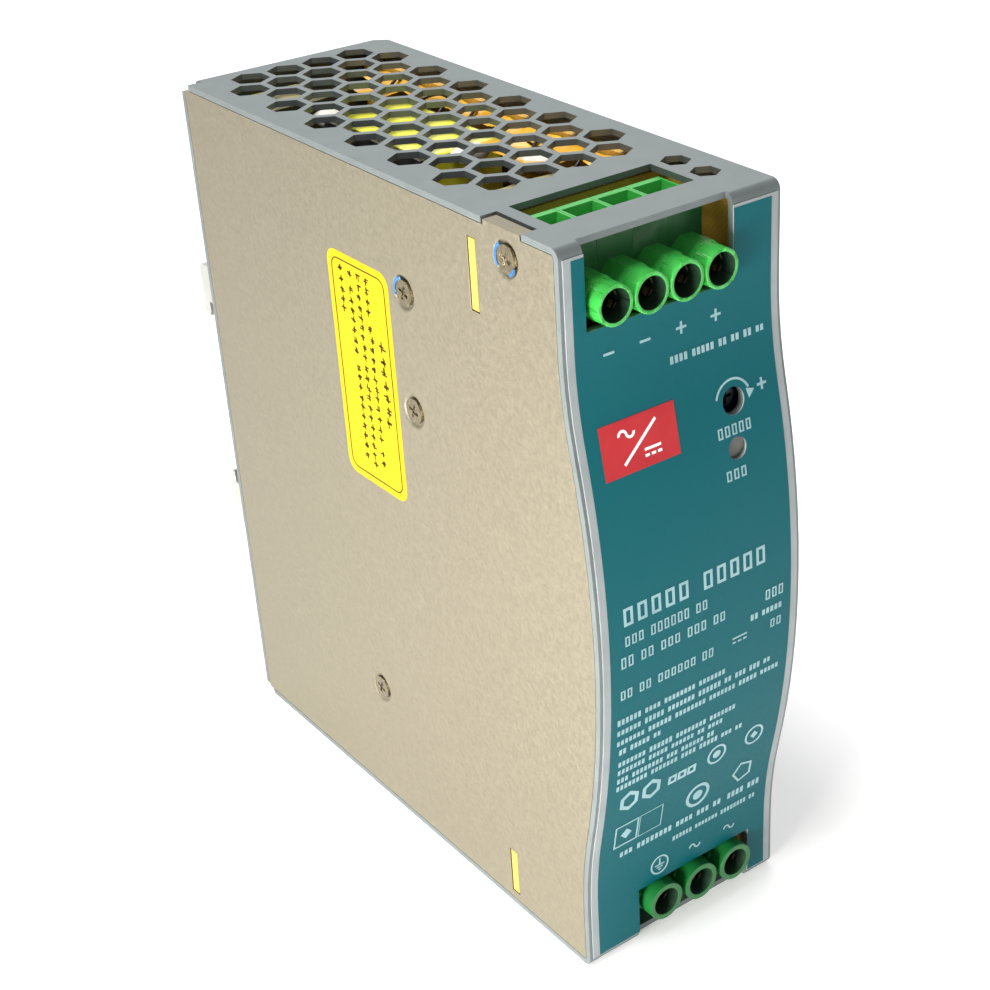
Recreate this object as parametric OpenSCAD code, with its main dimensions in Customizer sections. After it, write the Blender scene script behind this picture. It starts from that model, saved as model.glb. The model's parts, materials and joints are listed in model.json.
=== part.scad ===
// DIN rail power supply: bent sheet case, spring latch, boards, terminals and power parts.
// Front faces -Y, the rail side faces +Y, the case stands on its bottom plate at z = 0.

/* [Case] */
// Overall width, between the outer faces of the two side walls
case_w = 40; // [36:0.5:60]
// Overall height of the case
case_h = 125.2; // [120:0.1:160]
// Depth from the crown of the front to the plane that the rail seats on
case_d = 113.5; // [108:0.1:145]
// Thickness of the case and cover sheets
sheet_t = 1; // [0.8:0.05:1.25]
// Outer radius of the bends between front, top, back and bottom
bend_r = 1.6; // [1.4:0.1:2]
// Gap around the side cover
cover_gap = 0.1; // [0.05:0.05:0.3]
// How far the front bulges out of its flat ends
bulge_h = 5.5; // [3:0.1:7]
// Height of the flat stretch below the bulge
flat_bottom = 11; // [8:0.5:16]
// Height of the flat stretch above the bulge
flat_top = 14.2; // [10:0.1:20]
// Share of the bulge's curve that is convex
convex_share = 0.675; // [0.5:0.005:0.8]
// Thickness of the printed front label
label_t = 0.2; // [0.1:0.05:0.3]
// Margin between the front label and the case's edges
label_margin = 0.6; // [0.4:0.1:2]

/* [Vents] */
// Width across the flats of a vent hexagon
hex_af = 5.8; // [4:0.1:6.2]
// Distance between neighbouring hexagons
hex_pitch = 6.95; // [6.9:0.05:7.3]
// Number of columns of hexagons, from front to back
vent_columns = 13; // [5:2:13]
// Number of hexagons in a long column
vent_rows = 5; // [3:1:5]
// Distance from the flat front to the first column
vent_setback = 26.8; // [24:0.1:29]
// Width across the flats of the two small hexagons beside the terminals
small_hex_af = 4.1; // [3:0.1:5]

/* [Side cover] */
// Outer radius of the dish around a screw in the side cover
dish_r = 3.1; // [2.8:0.1:3.6]
// Depth of the dish
dish_depth = 0.6; // [0.4:0.05:0.7]
// Radius of a side screw's head
side_head_r = 2.2; // [1.8:0.1:2.4]
// Radius of a side screw's shank
side_shank_r = 1.2; // [1:0.05:1.4]
// Width of the side label
side_label_w = 17.8; // [10:0.1:24]
// Height of the side label
side_label_h = 40; // [20:0.5:44]

/* [Rail clip] */
// Width of the rail bracket and of the latch
clip_w = 38; // [30:0.5:38]
// Thickness of the rail bracket's plate
bracket_t = 2; // [1.8:0.1:2.4]
// How far the hook reaches behind the rail's seat
hook_reach = 3.3; // [3:0.1:4]
// Height of the rail that the clip holds
rail_h = 35; // [34:0.1:36]
// Height of the rail's middle above the base
rail_z = 64.3; // [62:0.1:72]
// Width of the slot that takes the rail's flange
flange_slot = 1.4; // [1.2:0.05:1.6]
// Thickness of the latch's sheet
latch_t = 1.6; // [1.4:0.05:1.7]
// Travel of the latch when it is pulled open
latch_travel = 5; // [4:0.5:6]
// Outer radius of the latch spring
spring_r = 1.58; // [1.3:0.02:1.7]
// Radius of the latch spring's wire
spring_wire_r = 0.28; // [0.2:0.02:0.34]
// Number of turns of the latch spring
spring_turns = 9; // [6:1:11]

/* [Terminals] */
// Distance between neighbouring output terminals
output_pitch = 6.4; // [6.2:0.05:7]
// Distance between neighbouring input terminals
input_pitch = 7.62; // [7:0.02:8]
// Sideways place of the middle of the output terminals
output_x = -2.5; // [-4:0.1:-1]
// Sideways place of the middle of the input terminals
input_x = 2.4; // [0:0.1:2.6]
// Outer radius of an output terminal's tube
output_tube_r = 3.05; // [2.8:0.05:3.1]
// Outer radius of an input terminal's tube
input_tube_r = 3.4; // [3:0.05:3.5]
// Radius of the wire entry
entry_r = 2.5; // [2:0.05:2.6]
// Height of the output wire entries below the top of the case
output_drop = 9.5; // [9:0.1:11]
// Height of the input wire entries above the base
input_rise = 7; // [7:0.1:9]
// How far the tubes reach in front of the flat front
tube_reach = 2; // [0.5:0.1:4]
// Lift of a clamp over one turn of its screw
thread_lead = 0.4; // [0.35:0.05:0.4]
// Turns of a terminal screw from open to closed
screw_turns = 4; // [2:1:4]
// Radius of a terminal screw's shank
shank_r = 1.45; // [1.2:0.05:1.5]
// Radius of a terminal screw's head
head_r = 2.15; // [1.9:0.05:2.2]
// Clearance between a clamp and its chamber
clamp_gap = 0.1; // [0.08:0.02:0.2]

/* [Boards] */
// Thickness of the circuit boards
board_t = 1.6; // [1.2:0.1:1.6]
// Distance from the flat front to the middle of the front board
front_board_setback = 20.3; // [20:0.1:22]
// Distance from the right wall's inner face to the main board
board_standoff = 3.2; // [2.6:0.1:3.6]
// Thickness of the insulation sheet
sheet_insulation_t = 0.3; // [0.2:0.05:0.5]
// Thickness of the thermal pads
pad_t = 0.6; // [0.6:0.05:0.9]

/* [Front controls] */
// Radius of the hole over the voltage trimmer
adjust_hole_r = 2.1; // [1.6:0.1:2.6]
// Radius of the indicator's light pipe
light_pipe_r = 1.7; // [1.2:0.1:2]
// Sideways place of the trimmer
trimmer_x = 9.2; // [7:0.1:10]
// Distance of the trimmer below the top of the case
trimmer_drop = 30.8; // [28:0.1:34]
// Sideways place of the indicator
indicator_x = 8.8; // [7:0.1:10]
// Distance of the indicator below the top of the case
indicator_drop = 37.9; // [37:0.1:42]

/* [Power parts] */
// Radius of the bulk capacitor
bulk_r = 11; // [8:0.5:11]
// Radius of an output capacitor
output_cap_r = 5; // [4:0.5:5]
// Thickness of the heatsinks' metal
heatsink_t = 2; // [1.5:0.1:2.4]
// Width of the transformer's core
core_w = 30; // [24:0.5:30]
// Height of the transformer's core
core_h = 34; // [30:0.5:36]
// Thickness of the transformer's core
core_t = 16; // [10:0.5:18]
// Radius of the transformer's winding
winding_r = 10.4; // [8:0.1:10.4]

/* [Hidden] */
$fn = 48;
BIG = 200;
OUTPUTS = 4;
INPUTS = 3;

// The case's planes
x_left = -case_w / 2;
x_right = case_w / 2;
x_cover = x_left + sheet_t;
x_wall = x_right - sheet_t;
y_crown = -(case_d + hook_reach) / 2;
y_flat = y_crown + label_t + bulge_h;
y_rail = y_crown + case_d;
y_back = y_rail - bracket_t;
y_inside = y_back - sheet_t;
z_top = case_h;
z_ceiling = case_h - sheet_t;

// The bulge: one convex arc between two concave ones, tangent to each other and to the flats
bulge_z = (flat_bottom + z_top - flat_top) / 2;
bulge_half = (z_top - flat_top - flat_bottom) / 2;
bulge_angle = 2 * atan(bulge_h / bulge_half);
arc_sum = bulge_half / sin(bulge_angle);
convex_r = arc_sum * convex_share;
concave_r = arc_sum - convex_r;
convex_y = y_crown + label_t + convex_r;
function front_y(z) =
  let (d = abs(z - bulge_z))
  d < convex_r * sin(bulge_angle) ? convex_y - sqrt(convex_r * convex_r - d * d) :
  d < bulge_half ? y_flat - concave_r + sqrt(pow(concave_r, 2) - pow(bulge_half - d, 2)) :
  y_flat;

// Boards
x_board = x_wall - board_standoff - board_t;
y_board = y_flat + front_board_setback - board_t / 2;
y_behind_board = y_board + board_t;
board_margin = 2.5;
board_end_gap = 1; // between the boards' ends and the top and bottom plates
board_z0 = sheet_t + board_end_gap;
board_z1 = z_ceiling - board_end_gap;
board_y0 = y_flat + 3;
board_y1 = y_inside - board_margin;
tab_play = 0.2;
slot_play = 0.25;
output_slot = [z_top - 15.2, z_top - 3.8];
input_slot = [2.6, 11.6];

// Terminals, seen from the wire entry: positive heights point to the screw's head
terminal_depth = 13.6;
screw_back = 8;
y_term = y_board - terminal_depth;
y_screw = y_board - screw_back;
y_mouth = y_flat - tube_reach;
module_gap = 0.1;
plate_gap = 0.2;
bar_h = [0.8, 1.5];
bar_half = 1.5;
clamp_half_x = 2.5;
clamp_half_y = 2.8;
clamp_wall = 0.6;
clamp_plate = 0.8;
clamp_top = bar_h[1] + clamp_gap;
clamp_low = -2.4;
clamp_lift = thread_lead * screw_turns;
lip_h = clamp_top + clamp_plate + clamp_lift + clamp_gap;
lip_t = 0.35;
head_h = lip_h + lip_t + 0.05;
head_t = 1;
well_half = head_r + 0.15;
rear_step = 3.4;
z_output = z_top - output_drop;
z_input = input_rise;
output_end = output_drop - sheet_t - plate_gap;
input_end = input_rise - sheet_t - plate_gap;
// A wide row of outputs moves right, clear of the cover's screw
output_mid = max(output_x, x_left + 4.6 + OUTPUTS / 2 * output_pitch);
function output_at(i) = output_mid + (i - (OUTPUTS + 1) / 2) * output_pitch;
function input_at(i) = input_x + (i - (INPUTS + 1) / 2) * input_pitch;
output_edge = [output_at(1) - output_pitch / 2, output_at(OUTPUTS) + output_pitch / 2];
input_edge = [input_at(1) - input_pitch / 2, input_at(INPUTS) + input_pitch / 2];
cut_gap = 0.6;
opening_front = 3.4;
opening_back = 6.4;

// Side screws: place along Y and Z
cover_screw_at = [y_screw + 0.7, z_top - 4.8];
sink_y = y_behind_board + 18.6;
primary_sink_y = y_behind_board + 38.1;
heatsink_screw_at = [[sink_y, z_top - 18.3], [sink_y, z_top - 38.2], [primary_sink_y, 24.6]];
cover_boss_x = x_cover + dish_depth;

// Heatsinks: the plate lies on the thermal pad behind the side cover
x_pad = x_cover;
x_sink = x_cover + pad_t;
x_sink_in = x_sink + heatsink_t;
secondary_y = [y_behind_board + 4, y_behind_board + 26];
secondary_z = [z_top - 45, z_top - 11];
primary_y = [y_behind_board + 28, y_behind_board + 58];
primary_z = [12, 42];

// Rail clip
y_latch = y_back + 0.1;
rail_top = rail_z + rail_h / 2;
rail_bottom = rail_z - rail_h / 2;
hook_root = rail_top + 1.6;
hook_top = hook_root + 7.2;
lip_low = rail_top - 1.4;
bracket_z0 = rail_bottom + 5;
latch_seat = rail_bottom - 0.8;
latch_z1 = bracket_z0 - 1.6;
latch_z0 = 8;
spring_z = [23, latch_seat - 3];
post_z = spring_z[0] - 2.4;
rivet_x = 12;
rivet_z = 28;
rivet_r = 1.5;
bracket_screw_z = [rail_z - 8, rail_z + 10];
spring_y = y_latch + spring_r + 0.1;

// A stretch from low to high around a place
function span(at, low, high) = [at + low, at + high];

// A block between two corners
module block(x, y, z) {
  translate([x[0], y[0], z[0]]) cube([x[1] - x[0], y[1] - y[0], z[1] - z[0]]);
}

// Round bars along each axis
module bar_x(x, y, z, r) {
  translate([x[0], y, z]) rotate([0, 90, 0]) cylinder(h = x[1] - x[0], r = r);
}
module bar_y(x, y, z, r) {
  translate([x, y[0], z]) rotate([-90, 0, 0]) cylinder(h = y[1] - y[0], r = r);
}
module bar_z(x, y, z, r) {
  translate([x, y, z[0]]) cylinder(h = z[1] - z[0], r = r);
}

// Draws a Y-Z outline over a stretch of X
module along_x(x) {
  translate([x[0], 0, 0]) rotate([90, 0, 90]) linear_extrude(x[1] - x[0]) children();
}

module rounded_square(a, b, r) {
  union() {
    translate([a[0] + r, a[1]]) square([b[0] - a[0] - 2 * r, b[1] - a[1]]);
    translate([a[0], a[1] + r]) square([b[0] - a[0], b[1] - a[1] - 2 * r]);
    for (u = [a[0] + r, b[0] - r], v = [a[1] + r, b[1] - r])
      translate([u, v]) circle(r);
  }
}

// The front's bulge, moved inwards by t
module bulge(t) {
  reach = convex_r - t;
  join_y = convex_y - reach * cos(bulge_angle);
  join_z = reach * sin(bulge_angle);
  y_root = y_flat + bend_r + t;
  intersection() {
    translate([convex_y, bulge_z]) circle(reach, $fn = 360);
    translate([y_crown - 2, bulge_z - join_z]) square([y_root - y_crown + 2, 2 * join_z]);
  }
  for (side = [-1, 1])
    difference() {
      translate([join_y, bulge_z + (side < 0 ? -bulge_half : join_z)])
        square([y_root - join_y, bulge_half - join_z]);
      translate([y_flat - concave_r, bulge_z + side * bulge_half])
        circle(concave_r + t, $fn = 360);
    }
}

// The case's outline in Y and Z, moved inwards by t
module case_outline(t) {
  union() {
    rounded_square([y_flat + t, t], [y_back - t, z_top - t], max(bend_r - t, 0.2));
    bulge(t);
  }
}

module vents(z) {
  for (column = [0 : vent_columns - 1]) {
    rows = column % 2 == 0 ? vent_rows - 1 : vent_rows;
    for (row = [0 : rows - 1])
      translate([(row - (rows - 1) / 2) * hex_pitch, y_flat + vent_setback + column * hex_pitch * sin(60), z])
        rotate([0, 0, 90]) cylinder(h = 2 * sheet_t, r = hex_af / sqrt(3), $fn = 6, center = true);
  }
}

module small_vents(x, z) {
  for (y = [y_screw - 1.6, y_screw + 5])
    translate([x, y, z])
      rotate([0, 0, 90]) cylinder(h = 2 * sheet_t, r = small_hex_af / sqrt(3), $fn = 6, center = true);
}

cover_tab_y = [y_board - 11.4, y_board - 2];
corner_cut = [3.8, 3]; // cut off the top plate's back right corner
module case_body() {
  color("gainsboro") difference() {
    union() {
      along_x([x_left, x_right]) difference() { case_outline(0); case_outline(sheet_t); }
      along_x([x_wall, x_right]) case_outline(0);
      // Screw tab under the top plate, joined to it at both ends of the notch
      block([cover_boss_x, cover_boss_x + sheet_t], cover_tab_y + [-1.5, 1.5],
            [cover_screw_at[1] - 3.6, z_ceiling + sheet_t / 2]);
      // Tab that the latch spring pushes on
      block([-1.8, 1.8], [y_inside + sheet_t / 2, y_latch + 2 * spring_r], [post_z, spring_z[0]]);
    }
    // Terminal cut-outs, through the bends at the top and the bottom
    block(output_edge + [-cut_gap, cut_gap], [y_crown - 1, y_flat + bend_r],
          [z_output - output_tube_r - 0.4, z_top + 1]);
    block(input_edge + [-cut_gap, cut_gap], [y_crown - 1, y_flat + bend_r],
          [-1, z_input + input_tube_r + 0.3]);
    // Openings over the terminal screws
    block(output_edge + [0.4, 0.5], span(y_screw, -opening_front, opening_back), span(z_ceiling, -1, 2));
    block(input_edge + [0.4, -0.4], span(y_screw, -opening_front, opening_back), [-1, sheet_t + 1]);
    translate([0.2, 0, 0]) { vents(z_top - sheet_t / 2); vents(sheet_t / 2); }
    small_vents(x_right - 5.5, z_top - sheet_t / 2);
    small_vents(input_edge[0] - 4.2, sheet_t / 2);
    bar_y(trimmer_x, [y_crown - 1, y_board], z_top - trimmer_drop, adjust_hole_r);
    bar_y(indicator_x, [y_crown - 1, y_board], z_top - indicator_drop, light_pipe_r + 0.05);
    bar_x([x_cover, x_cover + 4], cover_screw_at[0], cover_screw_at[1], side_shank_r + 0.05);
    // Notch for the cover's tab, and the corner reliefs of the bends
    block([x_left - 1, x_left + 2.8], cover_tab_y, span(z_ceiling, -0.01, 2));
    block([x_left - 1, x_left + 2.6], [y_back - 2.6, y_back + 1], span(z_ceiling, -0.6, 2));
    block([x_left - 1, x_left + 2.6], [y_back - 2.6, y_back + 1], [-1, sheet_t + 0.6]);
    translate([x_right, y_back, z_ceiling - 0.6])
      linear_extrude(3) polygon([[-corner_cut[0] - 0.2, 0.2], [0.2, -corner_cut[1] - 0.2], [0.2, 0.2]]);
    block([x_left - 1, x_wall], span(y_inside, -0.3, 0), [-1, sheet_t]);
    for (x = [-rivet_x, rivet_x]) {
      bar_y(x, [y_inside - 1, y_back + 1], rivet_z, rivet_r);
      for (z = bracket_screw_z) bar_y(x, [y_inside - 1, y_back + 1], z, 1.5);
    }
  }
}

module side_dish(at, t) {
  translate([x_left, at[0], at[1]]) rotate([0, 90, 0]) translate([0, 0, t])
    cylinder(h = dish_depth, r1 = dish_r + t * 0.7, r2 = dish_r - 0.9 + t * 0.7);
}

side_screws = concat([cover_screw_at], heatsink_screw_at);
side_label_y = heatsink_screw_at[0][0] + 4.2;
side_label_z = z_top - 16.8 - side_label_h;
side_label_t = 0.12;
module side_label_block(gap) {
  along_x([x_left - gap, x_left + side_label_t])
    rounded_square([side_label_y - gap, side_label_z - gap],
                   [side_label_y + side_label_w + gap, side_label_z + side_label_h + gap], 2.4);
}

module side_cover() {
  color("silver") difference() {
    union() {
      along_x([x_left, x_cover]) case_outline(sheet_t + cover_gap);
      for (at = side_screws) side_dish(at, sheet_t);
      // Tab folded into the top plate's notch
      block([x_left, x_left + 2.4], cover_tab_y + [0.4, -0.4], span(z_ceiling, 0, 0.7));
      block([x_left, x_cover], cover_tab_y + [0.4, -0.4], span(z_ceiling, -1, 0.7));
    }
    for (at = side_screws) {
      side_dish(at, 0);
      bar_x([x_left - 1, x_cover + 2], at[0], at[1], side_shank_r + 0.1);
    }
    for (z = [output_slot, input_slot])
      block([x_left - 1, x_cover + 1], [y_board - slot_play, y_behind_board + slot_play], z);
    side_label_block(0);
  }
}

module front_label() {
  color("teal") difference() {
    intersection() {
      along_x([x_left + label_margin, x_right - label_margin])
        difference() { case_outline(-label_t); case_outline(0); }
      block([x_left, x_right], [y_crown - 1, y_flat], [bend_r, z_top - bend_r]);
    }
    block(output_edge + [-cut_gap, cut_gap], [y_crown - 2, y_flat + 1],
          [z_output - output_tube_r - 0.4, z_top + 1]);
    block(input_edge + [-cut_gap, cut_gap], [y_crown - 2, y_flat + 1],
          [-1, z_input + input_tube_r + 0.3]);
    bar_y(trimmer_x, [y_crown - 1, y_board], z_top - trimmer_drop, adjust_hole_r);
    bar_y(indicator_x, [y_crown - 1, y_board], z_top - indicator_drop, light_pipe_r + 0.05);
  }
}

module side_label() {
  color("gold") side_label_block(0);
}

spacer_r = 2.4;
spacers_at = [for (y = [board_y0 + 5, board_y1 - 5], z = [board_z0 + 19.5, board_z1 - 19.5]) [y, z]];
module insulation_sheet() {
  color("ivory") difference() {
    block([x_wall - sheet_insulation_t, x_wall], [board_y0, board_y1], [board_z0, board_z1]);
    for (at = spacers_at) bar_x([x_board, x_right], at[0], at[1], spacer_r + 0.2);
  }
}

// Side screw: flush head with a cross recess, and its shank
module side_screw(at, length) {
  head = dish_depth - 0.05;
  difference() {
    union() {
      bar_x([x_left + 0.02, x_left + head], at[0], at[1], side_head_r - 0.05);
      bar_x([x_left + 0.1, x_left + length], at[0], at[1], side_shank_r);
    }
    for (turn = [0, 90])
      translate([x_left, at[0], at[1]]) rotate([turn + 20, 0, 0])
        cube([0.6, 0.5, 2.4], center = true);
  }
}

module cover_screw() {
  color("silver") side_screw(cover_screw_at, sheet_t + dish_depth + 1.6);
}

module heatsink_screws() {
  color("silver") for (at = heatsink_screw_at) side_screw(at, sheet_t + pad_t + heatsink_t + 0.5);
}

module thermal_pads() {
  color("lightsteelblue") difference() {
    union() {
      block([x_pad, x_sink], secondary_y + [1.5, -1.5], secondary_z + [1.5, -1.5]);
      block([x_pad, x_sink], primary_y + [1.5, -1.5], primary_z + [1.5, -1.5]);
    }
    for (at = heatsink_screw_at) bar_x([x_left, x_sink + 1], at[0], at[1], dish_r + 1.2);
  }
}

module rail_bracket() {
  y_lip = y_rail + flange_slot;
  y_hook = y_rail + hook_reach;
  round_r = 1.2;
  color("lightgray") difference() {
    along_x([-clip_w / 2, clip_w / 2]) {
      translate([y_back, bracket_z0]) square([bracket_t, hook_top - bracket_z0]);
      rounded_square([y_back + 0.5, hook_root], [y_hook, hook_top], round_r);
      translate([y_back + 0.5, hook_root]) square([y_lip - y_back, 2 * round_r]);
      rounded_square([y_lip, lip_low], [y_hook, hook_top - 1], 0.6);
    }
    for (x = [-rivet_x, rivet_x], z = bracket_screw_z) {
      bar_y(x, [y_back - 1, y_rail + 1], z, 1.5);
      translate([x, y_rail - 1.3, z]) rotate([-90, 0, 0]) cylinder(h = 1.31, r1 = 1.5, r2 = 2.9);
    }
  }
}

module bracket_screws() {
  color("dimgray") for (x = [-rivet_x, rivet_x], z = bracket_screw_z) difference() {
    union() {
      bar_y(x, [y_inside - 2, y_rail - 0.5], z, 1.4);
      translate([x, y_rail - 1.3, z]) rotate([-90, 0, 0]) cylinder(h = 1.25, r1 = 1.4, r2 = 2.75);
    }
    for (turn = [0, 90])
      translate([x, y_rail, z]) rotate([0, turn, 0]) cube([3, 1.2, 0.6], center = true);
  }
}

module rail_latch() {
  face = y_latch + latch_t;
  lip = y_rail + flange_slot;
  tip = y_rail + hook_reach;
  color("lightgray") difference() {
    along_x([-clip_w / 2, clip_w / 2])
      polygon([
        [y_latch, latch_z0], [face, latch_z0], [face, latch_seat - 12.5], [y_rail + 0.5, latch_seat - 7.8],
        [tip - 1.5, latch_seat - 5.4], [tip, latch_seat - 2.8], [tip, latch_seat], [tip - 0.8, latch_seat + 2],
        [lip, latch_seat + 2.3], [lip, latch_seat], [face, latch_seat], [face, latch_z1], [y_latch, latch_z1]
      ]);
    // Window for the spring, slots for the rivets and the hole for a screwdriver
    block([-2.5, 2.5], [y_back, tip + 1], [post_z - 0.1, spring_z[1]]);
    for (x = [-rivet_x, rivet_x]) {
      block(span(x, -rivet_r - 0.1, rivet_r + 0.1), [y_back, tip + 1], span(rivet_z, 0, latch_travel));
      for (z = [rivet_z, rivet_z + latch_travel]) bar_y(x, [y_back, tip + 1], z, rivet_r + 0.1);
      block(span(x, -3.1, 3.1), [face, tip + 1], span(rivet_z, -3.1, latch_travel + 3.1));
    }
    block([-3, 3], [y_back, tip + 1], span(latch_z0, 2, 5));
  }
}

module latch_rivets() {
  color("dimgray") for (x = [-rivet_x, rivet_x]) {
    bar_y(x, [y_inside - 1, y_latch + latch_t + 0.1], rivet_z, rivet_r);
    bar_y(x, span(y_latch + latch_t, 0.1, 1), rivet_z, 2.8);
  }
}

module latch_spring() {
  wire_at = spring_r - spring_wire_r;
  length = spring_z[1] - spring_z[0] - 2 * spring_wire_r;
  swing = spring_wire_r * 360 * spring_turns / length;
  color("silver") translate([0, spring_y, spring_z[0] + spring_wire_r])
    linear_extrude(height = length, twist = -360 * spring_turns, slices = 12 * spring_turns)
      polygon([for (k = [0 : 30 : 330])
        let (r = wire_at + spring_wire_r * cos(k), a = swing * sin(k)) [r * cos(a), r * sin(a)]]);
}

module main_board() {
  color("tan") difference() {
    block([x_board, x_board + board_t], [board_y0, board_y1], [board_z0, board_z1]);
    for (at = spacers_at) bar_x([x_board - 1, x_right], at[0], at[1], 1.3);
    // Corner cut out behind a wide row of outputs
    if (output_edge[1] > x_board)
      block([x_board - 1, x_right], [board_y0 - 1, y_board], [z_output - output_tube_r - 3, z_top]);
  }
}

module front_board() {
  color("darkgoldenrod") difference() {
    union() {
      block([x_cover + 0.4, x_board], [y_board, y_behind_board], [board_z0, board_z1]);
      for (z = [output_slot, input_slot])
        block([x_left + 0.1, x_cover + 0.5], [y_board, y_behind_board], z + [tab_play, -tab_play]);
    }
    for (i = [1 : OUTPUTS]) pin_slot(output_at(i), z_output, 1, 0.05);
    for (i = [1 : INPUTS]) pin_slot(input_at(i), z_input, -1, 0.05);
  }
}

// A terminal's contact bar, or with a gap the slot that it passes through
module pin_slot(x, z, side, gap) {
  low = z + side * bar_h[side > 0 ? 0 : 1];
  block(span(x, -bar_half - gap, bar_half + gap), [y_screw - clamp_half_y, y_behind_board + 1] + [0, gap],
        span(low, -gap, bar_h[1] - bar_h[0] + gap));
}

module terminal_pins() {
  color("gold") {
    for (i = [1 : OUTPUTS]) pin_slot(output_at(i), z_output, 1, 0);
    for (i = [1 : INPUTS]) pin_slot(input_at(i), z_input, -1, 0);
  }
}

module board_spacers() {
  color("silver") for (at = spacers_at) difference() {
    bar_x([x_board + board_t, x_wall], at[0], at[1], spacer_r);
    bar_x([x_board, x_wall - 0.3], at[0], at[1], 1.25);
  }
}

module board_screws() {
  color("gray") for (at = spacers_at) difference() {
    union() {
      bar_x([x_board - 1.6, x_board], at[0], at[1], 2.4);
      bar_x([x_board - 0.5, x_wall - 0.5], at[0], at[1], 1.2);
    }
    for (turn = [0, 90])
      translate([x_board - 1.6, at[0], at[1]]) rotate([turn, 0, 0]) cube([1.6, 0.6, 2.8], center = true);
  }
}

// A terminal's housing with its origin where the wire entry crosses the screw's axis;
// the screw's head is at +Z
module terminal_housing(pitch, tube_r, end) {
  half = pitch / 2 - module_gap / 2;
  chamber = [clamp_low - clamp_plate - clamp_gap, lip_h];
  floor_h = chamber[0] - 2;
  funnel = [0.5, 2.6]; // how far the well's mouth widens, and how deep
  translate([0, y_screw, 0]) difference() {
    union() {
      block([-half, half], [y_term - y_screw, clamp_half_y + 1.2], [floor_h, end]);
      block([-half, half], [0, screw_back], [floor_h, rear_step]);
      bar_y(0, [y_mouth - y_screw, y_term - y_screw + 1], 0, tube_r);
      // Eight-sided collar behind the tube's mouth
      translate([0, y_term - y_screw + 0.5, 0]) rotate([90, 22.5, 0])
        cylinder(h = y_term - y_mouth - 2.5, r = min(tube_r, half) / cos(22.5), $fn = 8);
    }
    bar_y(0, [y_mouth - y_screw - 1, -clamp_half_y], 0, entry_r);
    block([-1, 1] * (clamp_half_x + clamp_gap), [-1, 1] * (clamp_half_y + clamp_gap), chamber);
    bar_z(0, 0, [lip_h - 1, end], shank_r + 0.15);
    block([-1, 1] * well_half, [-1, 1] * well_half, [lip_h + lip_t, end + 1]);
    intersection() {
      along_x([-well_half - funnel[0], well_half + funnel[0]])
        polygon([[-well_half, end - funnel[1]], [-well_half - funnel[0], end + 0.01],
                 [well_half + funnel[0], end + 0.01], [well_half, end - funnel[1]]]);
      translate([0, well_half + funnel[0], 0]) rotate([90, 0, 0]) linear_extrude(2 * (well_half + funnel[0]))
        polygon([[-well_half, end - funnel[1]], [-well_half - funnel[0], end + 0.01],
                 [well_half + funnel[0], end + 0.01], [well_half, end - funnel[1]]]);
    }
    translate([0, -y_screw, 0]) pin_slot(0, 0, 1, 0.05);
  }
}

module terminal_screw() {
  translate([0, y_screw, 0]) difference() {
    union() {
      bar_z(0, 0, [head_h, head_h + head_t], head_r);
      bar_z(0, 0, [bar_h[1] + 0.2, head_h + 0.5], shank_r);
    }
    translate([0, 0, head_h + head_t]) {
      cube([2 * head_r + 1, 0.6, 1.2], center = true);
      cube([0.6, 2 * head_r - 1, 1.2], center = true);
    }
  }
}

module terminal_clamp() {
  translate([0, y_screw, 0]) difference() {
    block([-clamp_half_x, clamp_half_x], [-clamp_half_y, clamp_half_y],
          [clamp_low - clamp_plate, clamp_top + clamp_plate]);
    block([-1, 1] * (clamp_half_x - clamp_wall), [-1, 1] * (clamp_half_y + 1), [clamp_low, clamp_top]);
    bar_z(0, 0, [clamp_top - 1, clamp_top + clamp_plate + 1], shank_r + 0.1);
  }
}

module at_output(i) {
  translate([output_at(i), 0, z_output]) children();
}
module at_input(i) {
  translate([input_at(i), 0, z_input]) mirror([0, 0, 1]) children();
}

// Trimmer and indicator on the main board's front edge
trimmer_z = z_top - trimmer_drop;
trimmer_half = 3.3;
y_trimmer = front_y(trimmer_z) + sheet_t + 1.6;
trimmer_d = 4.6;
rotor_r = 1.7;
module trimmer_body() {
  color("royalblue") difference() {
    union() {
      block(span(trimmer_x, -trimmer_half, trimmer_half), span(y_trimmer, 0, trimmer_d),
            span(trimmer_z, -trimmer_half, trimmer_half));
      block([trimmer_x + trimmer_half - 1, x_board], span(y_trimmer, 2, 3.4) + [0, 0.6], span(trimmer_z, -2.4, 2.4));
    }
    bar_y(trimmer_x, span(y_trimmer, -1, 1.5), trimmer_z, rotor_r + 0.05);
  }
}

module trimmer_rotor() {
  color("white") difference() {
    bar_y(trimmer_x, span(y_trimmer, -0.9, 1.5), trimmer_z, rotor_r);
    block(span(trimmer_x, -0.3, 0.3), span(y_trimmer, -1.5, -0.2), span(trimmer_z, -1.3, 1.3));
    block(span(trimmer_x, -1.3, 1.3), span(y_trimmer, -1.5, -0.2), span(trimmer_z, -0.3, 0.3));
  }
}

indicator_z = z_top - indicator_drop;
y_led = front_y(indicator_z) + sheet_t + 4;
led_r = 1.5;
module indicator_led() {
  color("palegreen") {
    bar_y(indicator_x, span(y_led, 0, 4.2), indicator_z, led_r);
    bar_y(indicator_x, span(y_led, 4.2, 5.2), indicator_z, led_r + 0.3);
    block([indicator_x - 0.9, x_board], span(y_led, 5.2, 5.7), span(indicator_z, -0.25, 0.25));
  }
}

module light_pipe() {
  color("lightgray") bar_y(indicator_x, [front_y(indicator_z) + 0.15, y_led], indicator_z, light_pipe_r);
}

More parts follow.
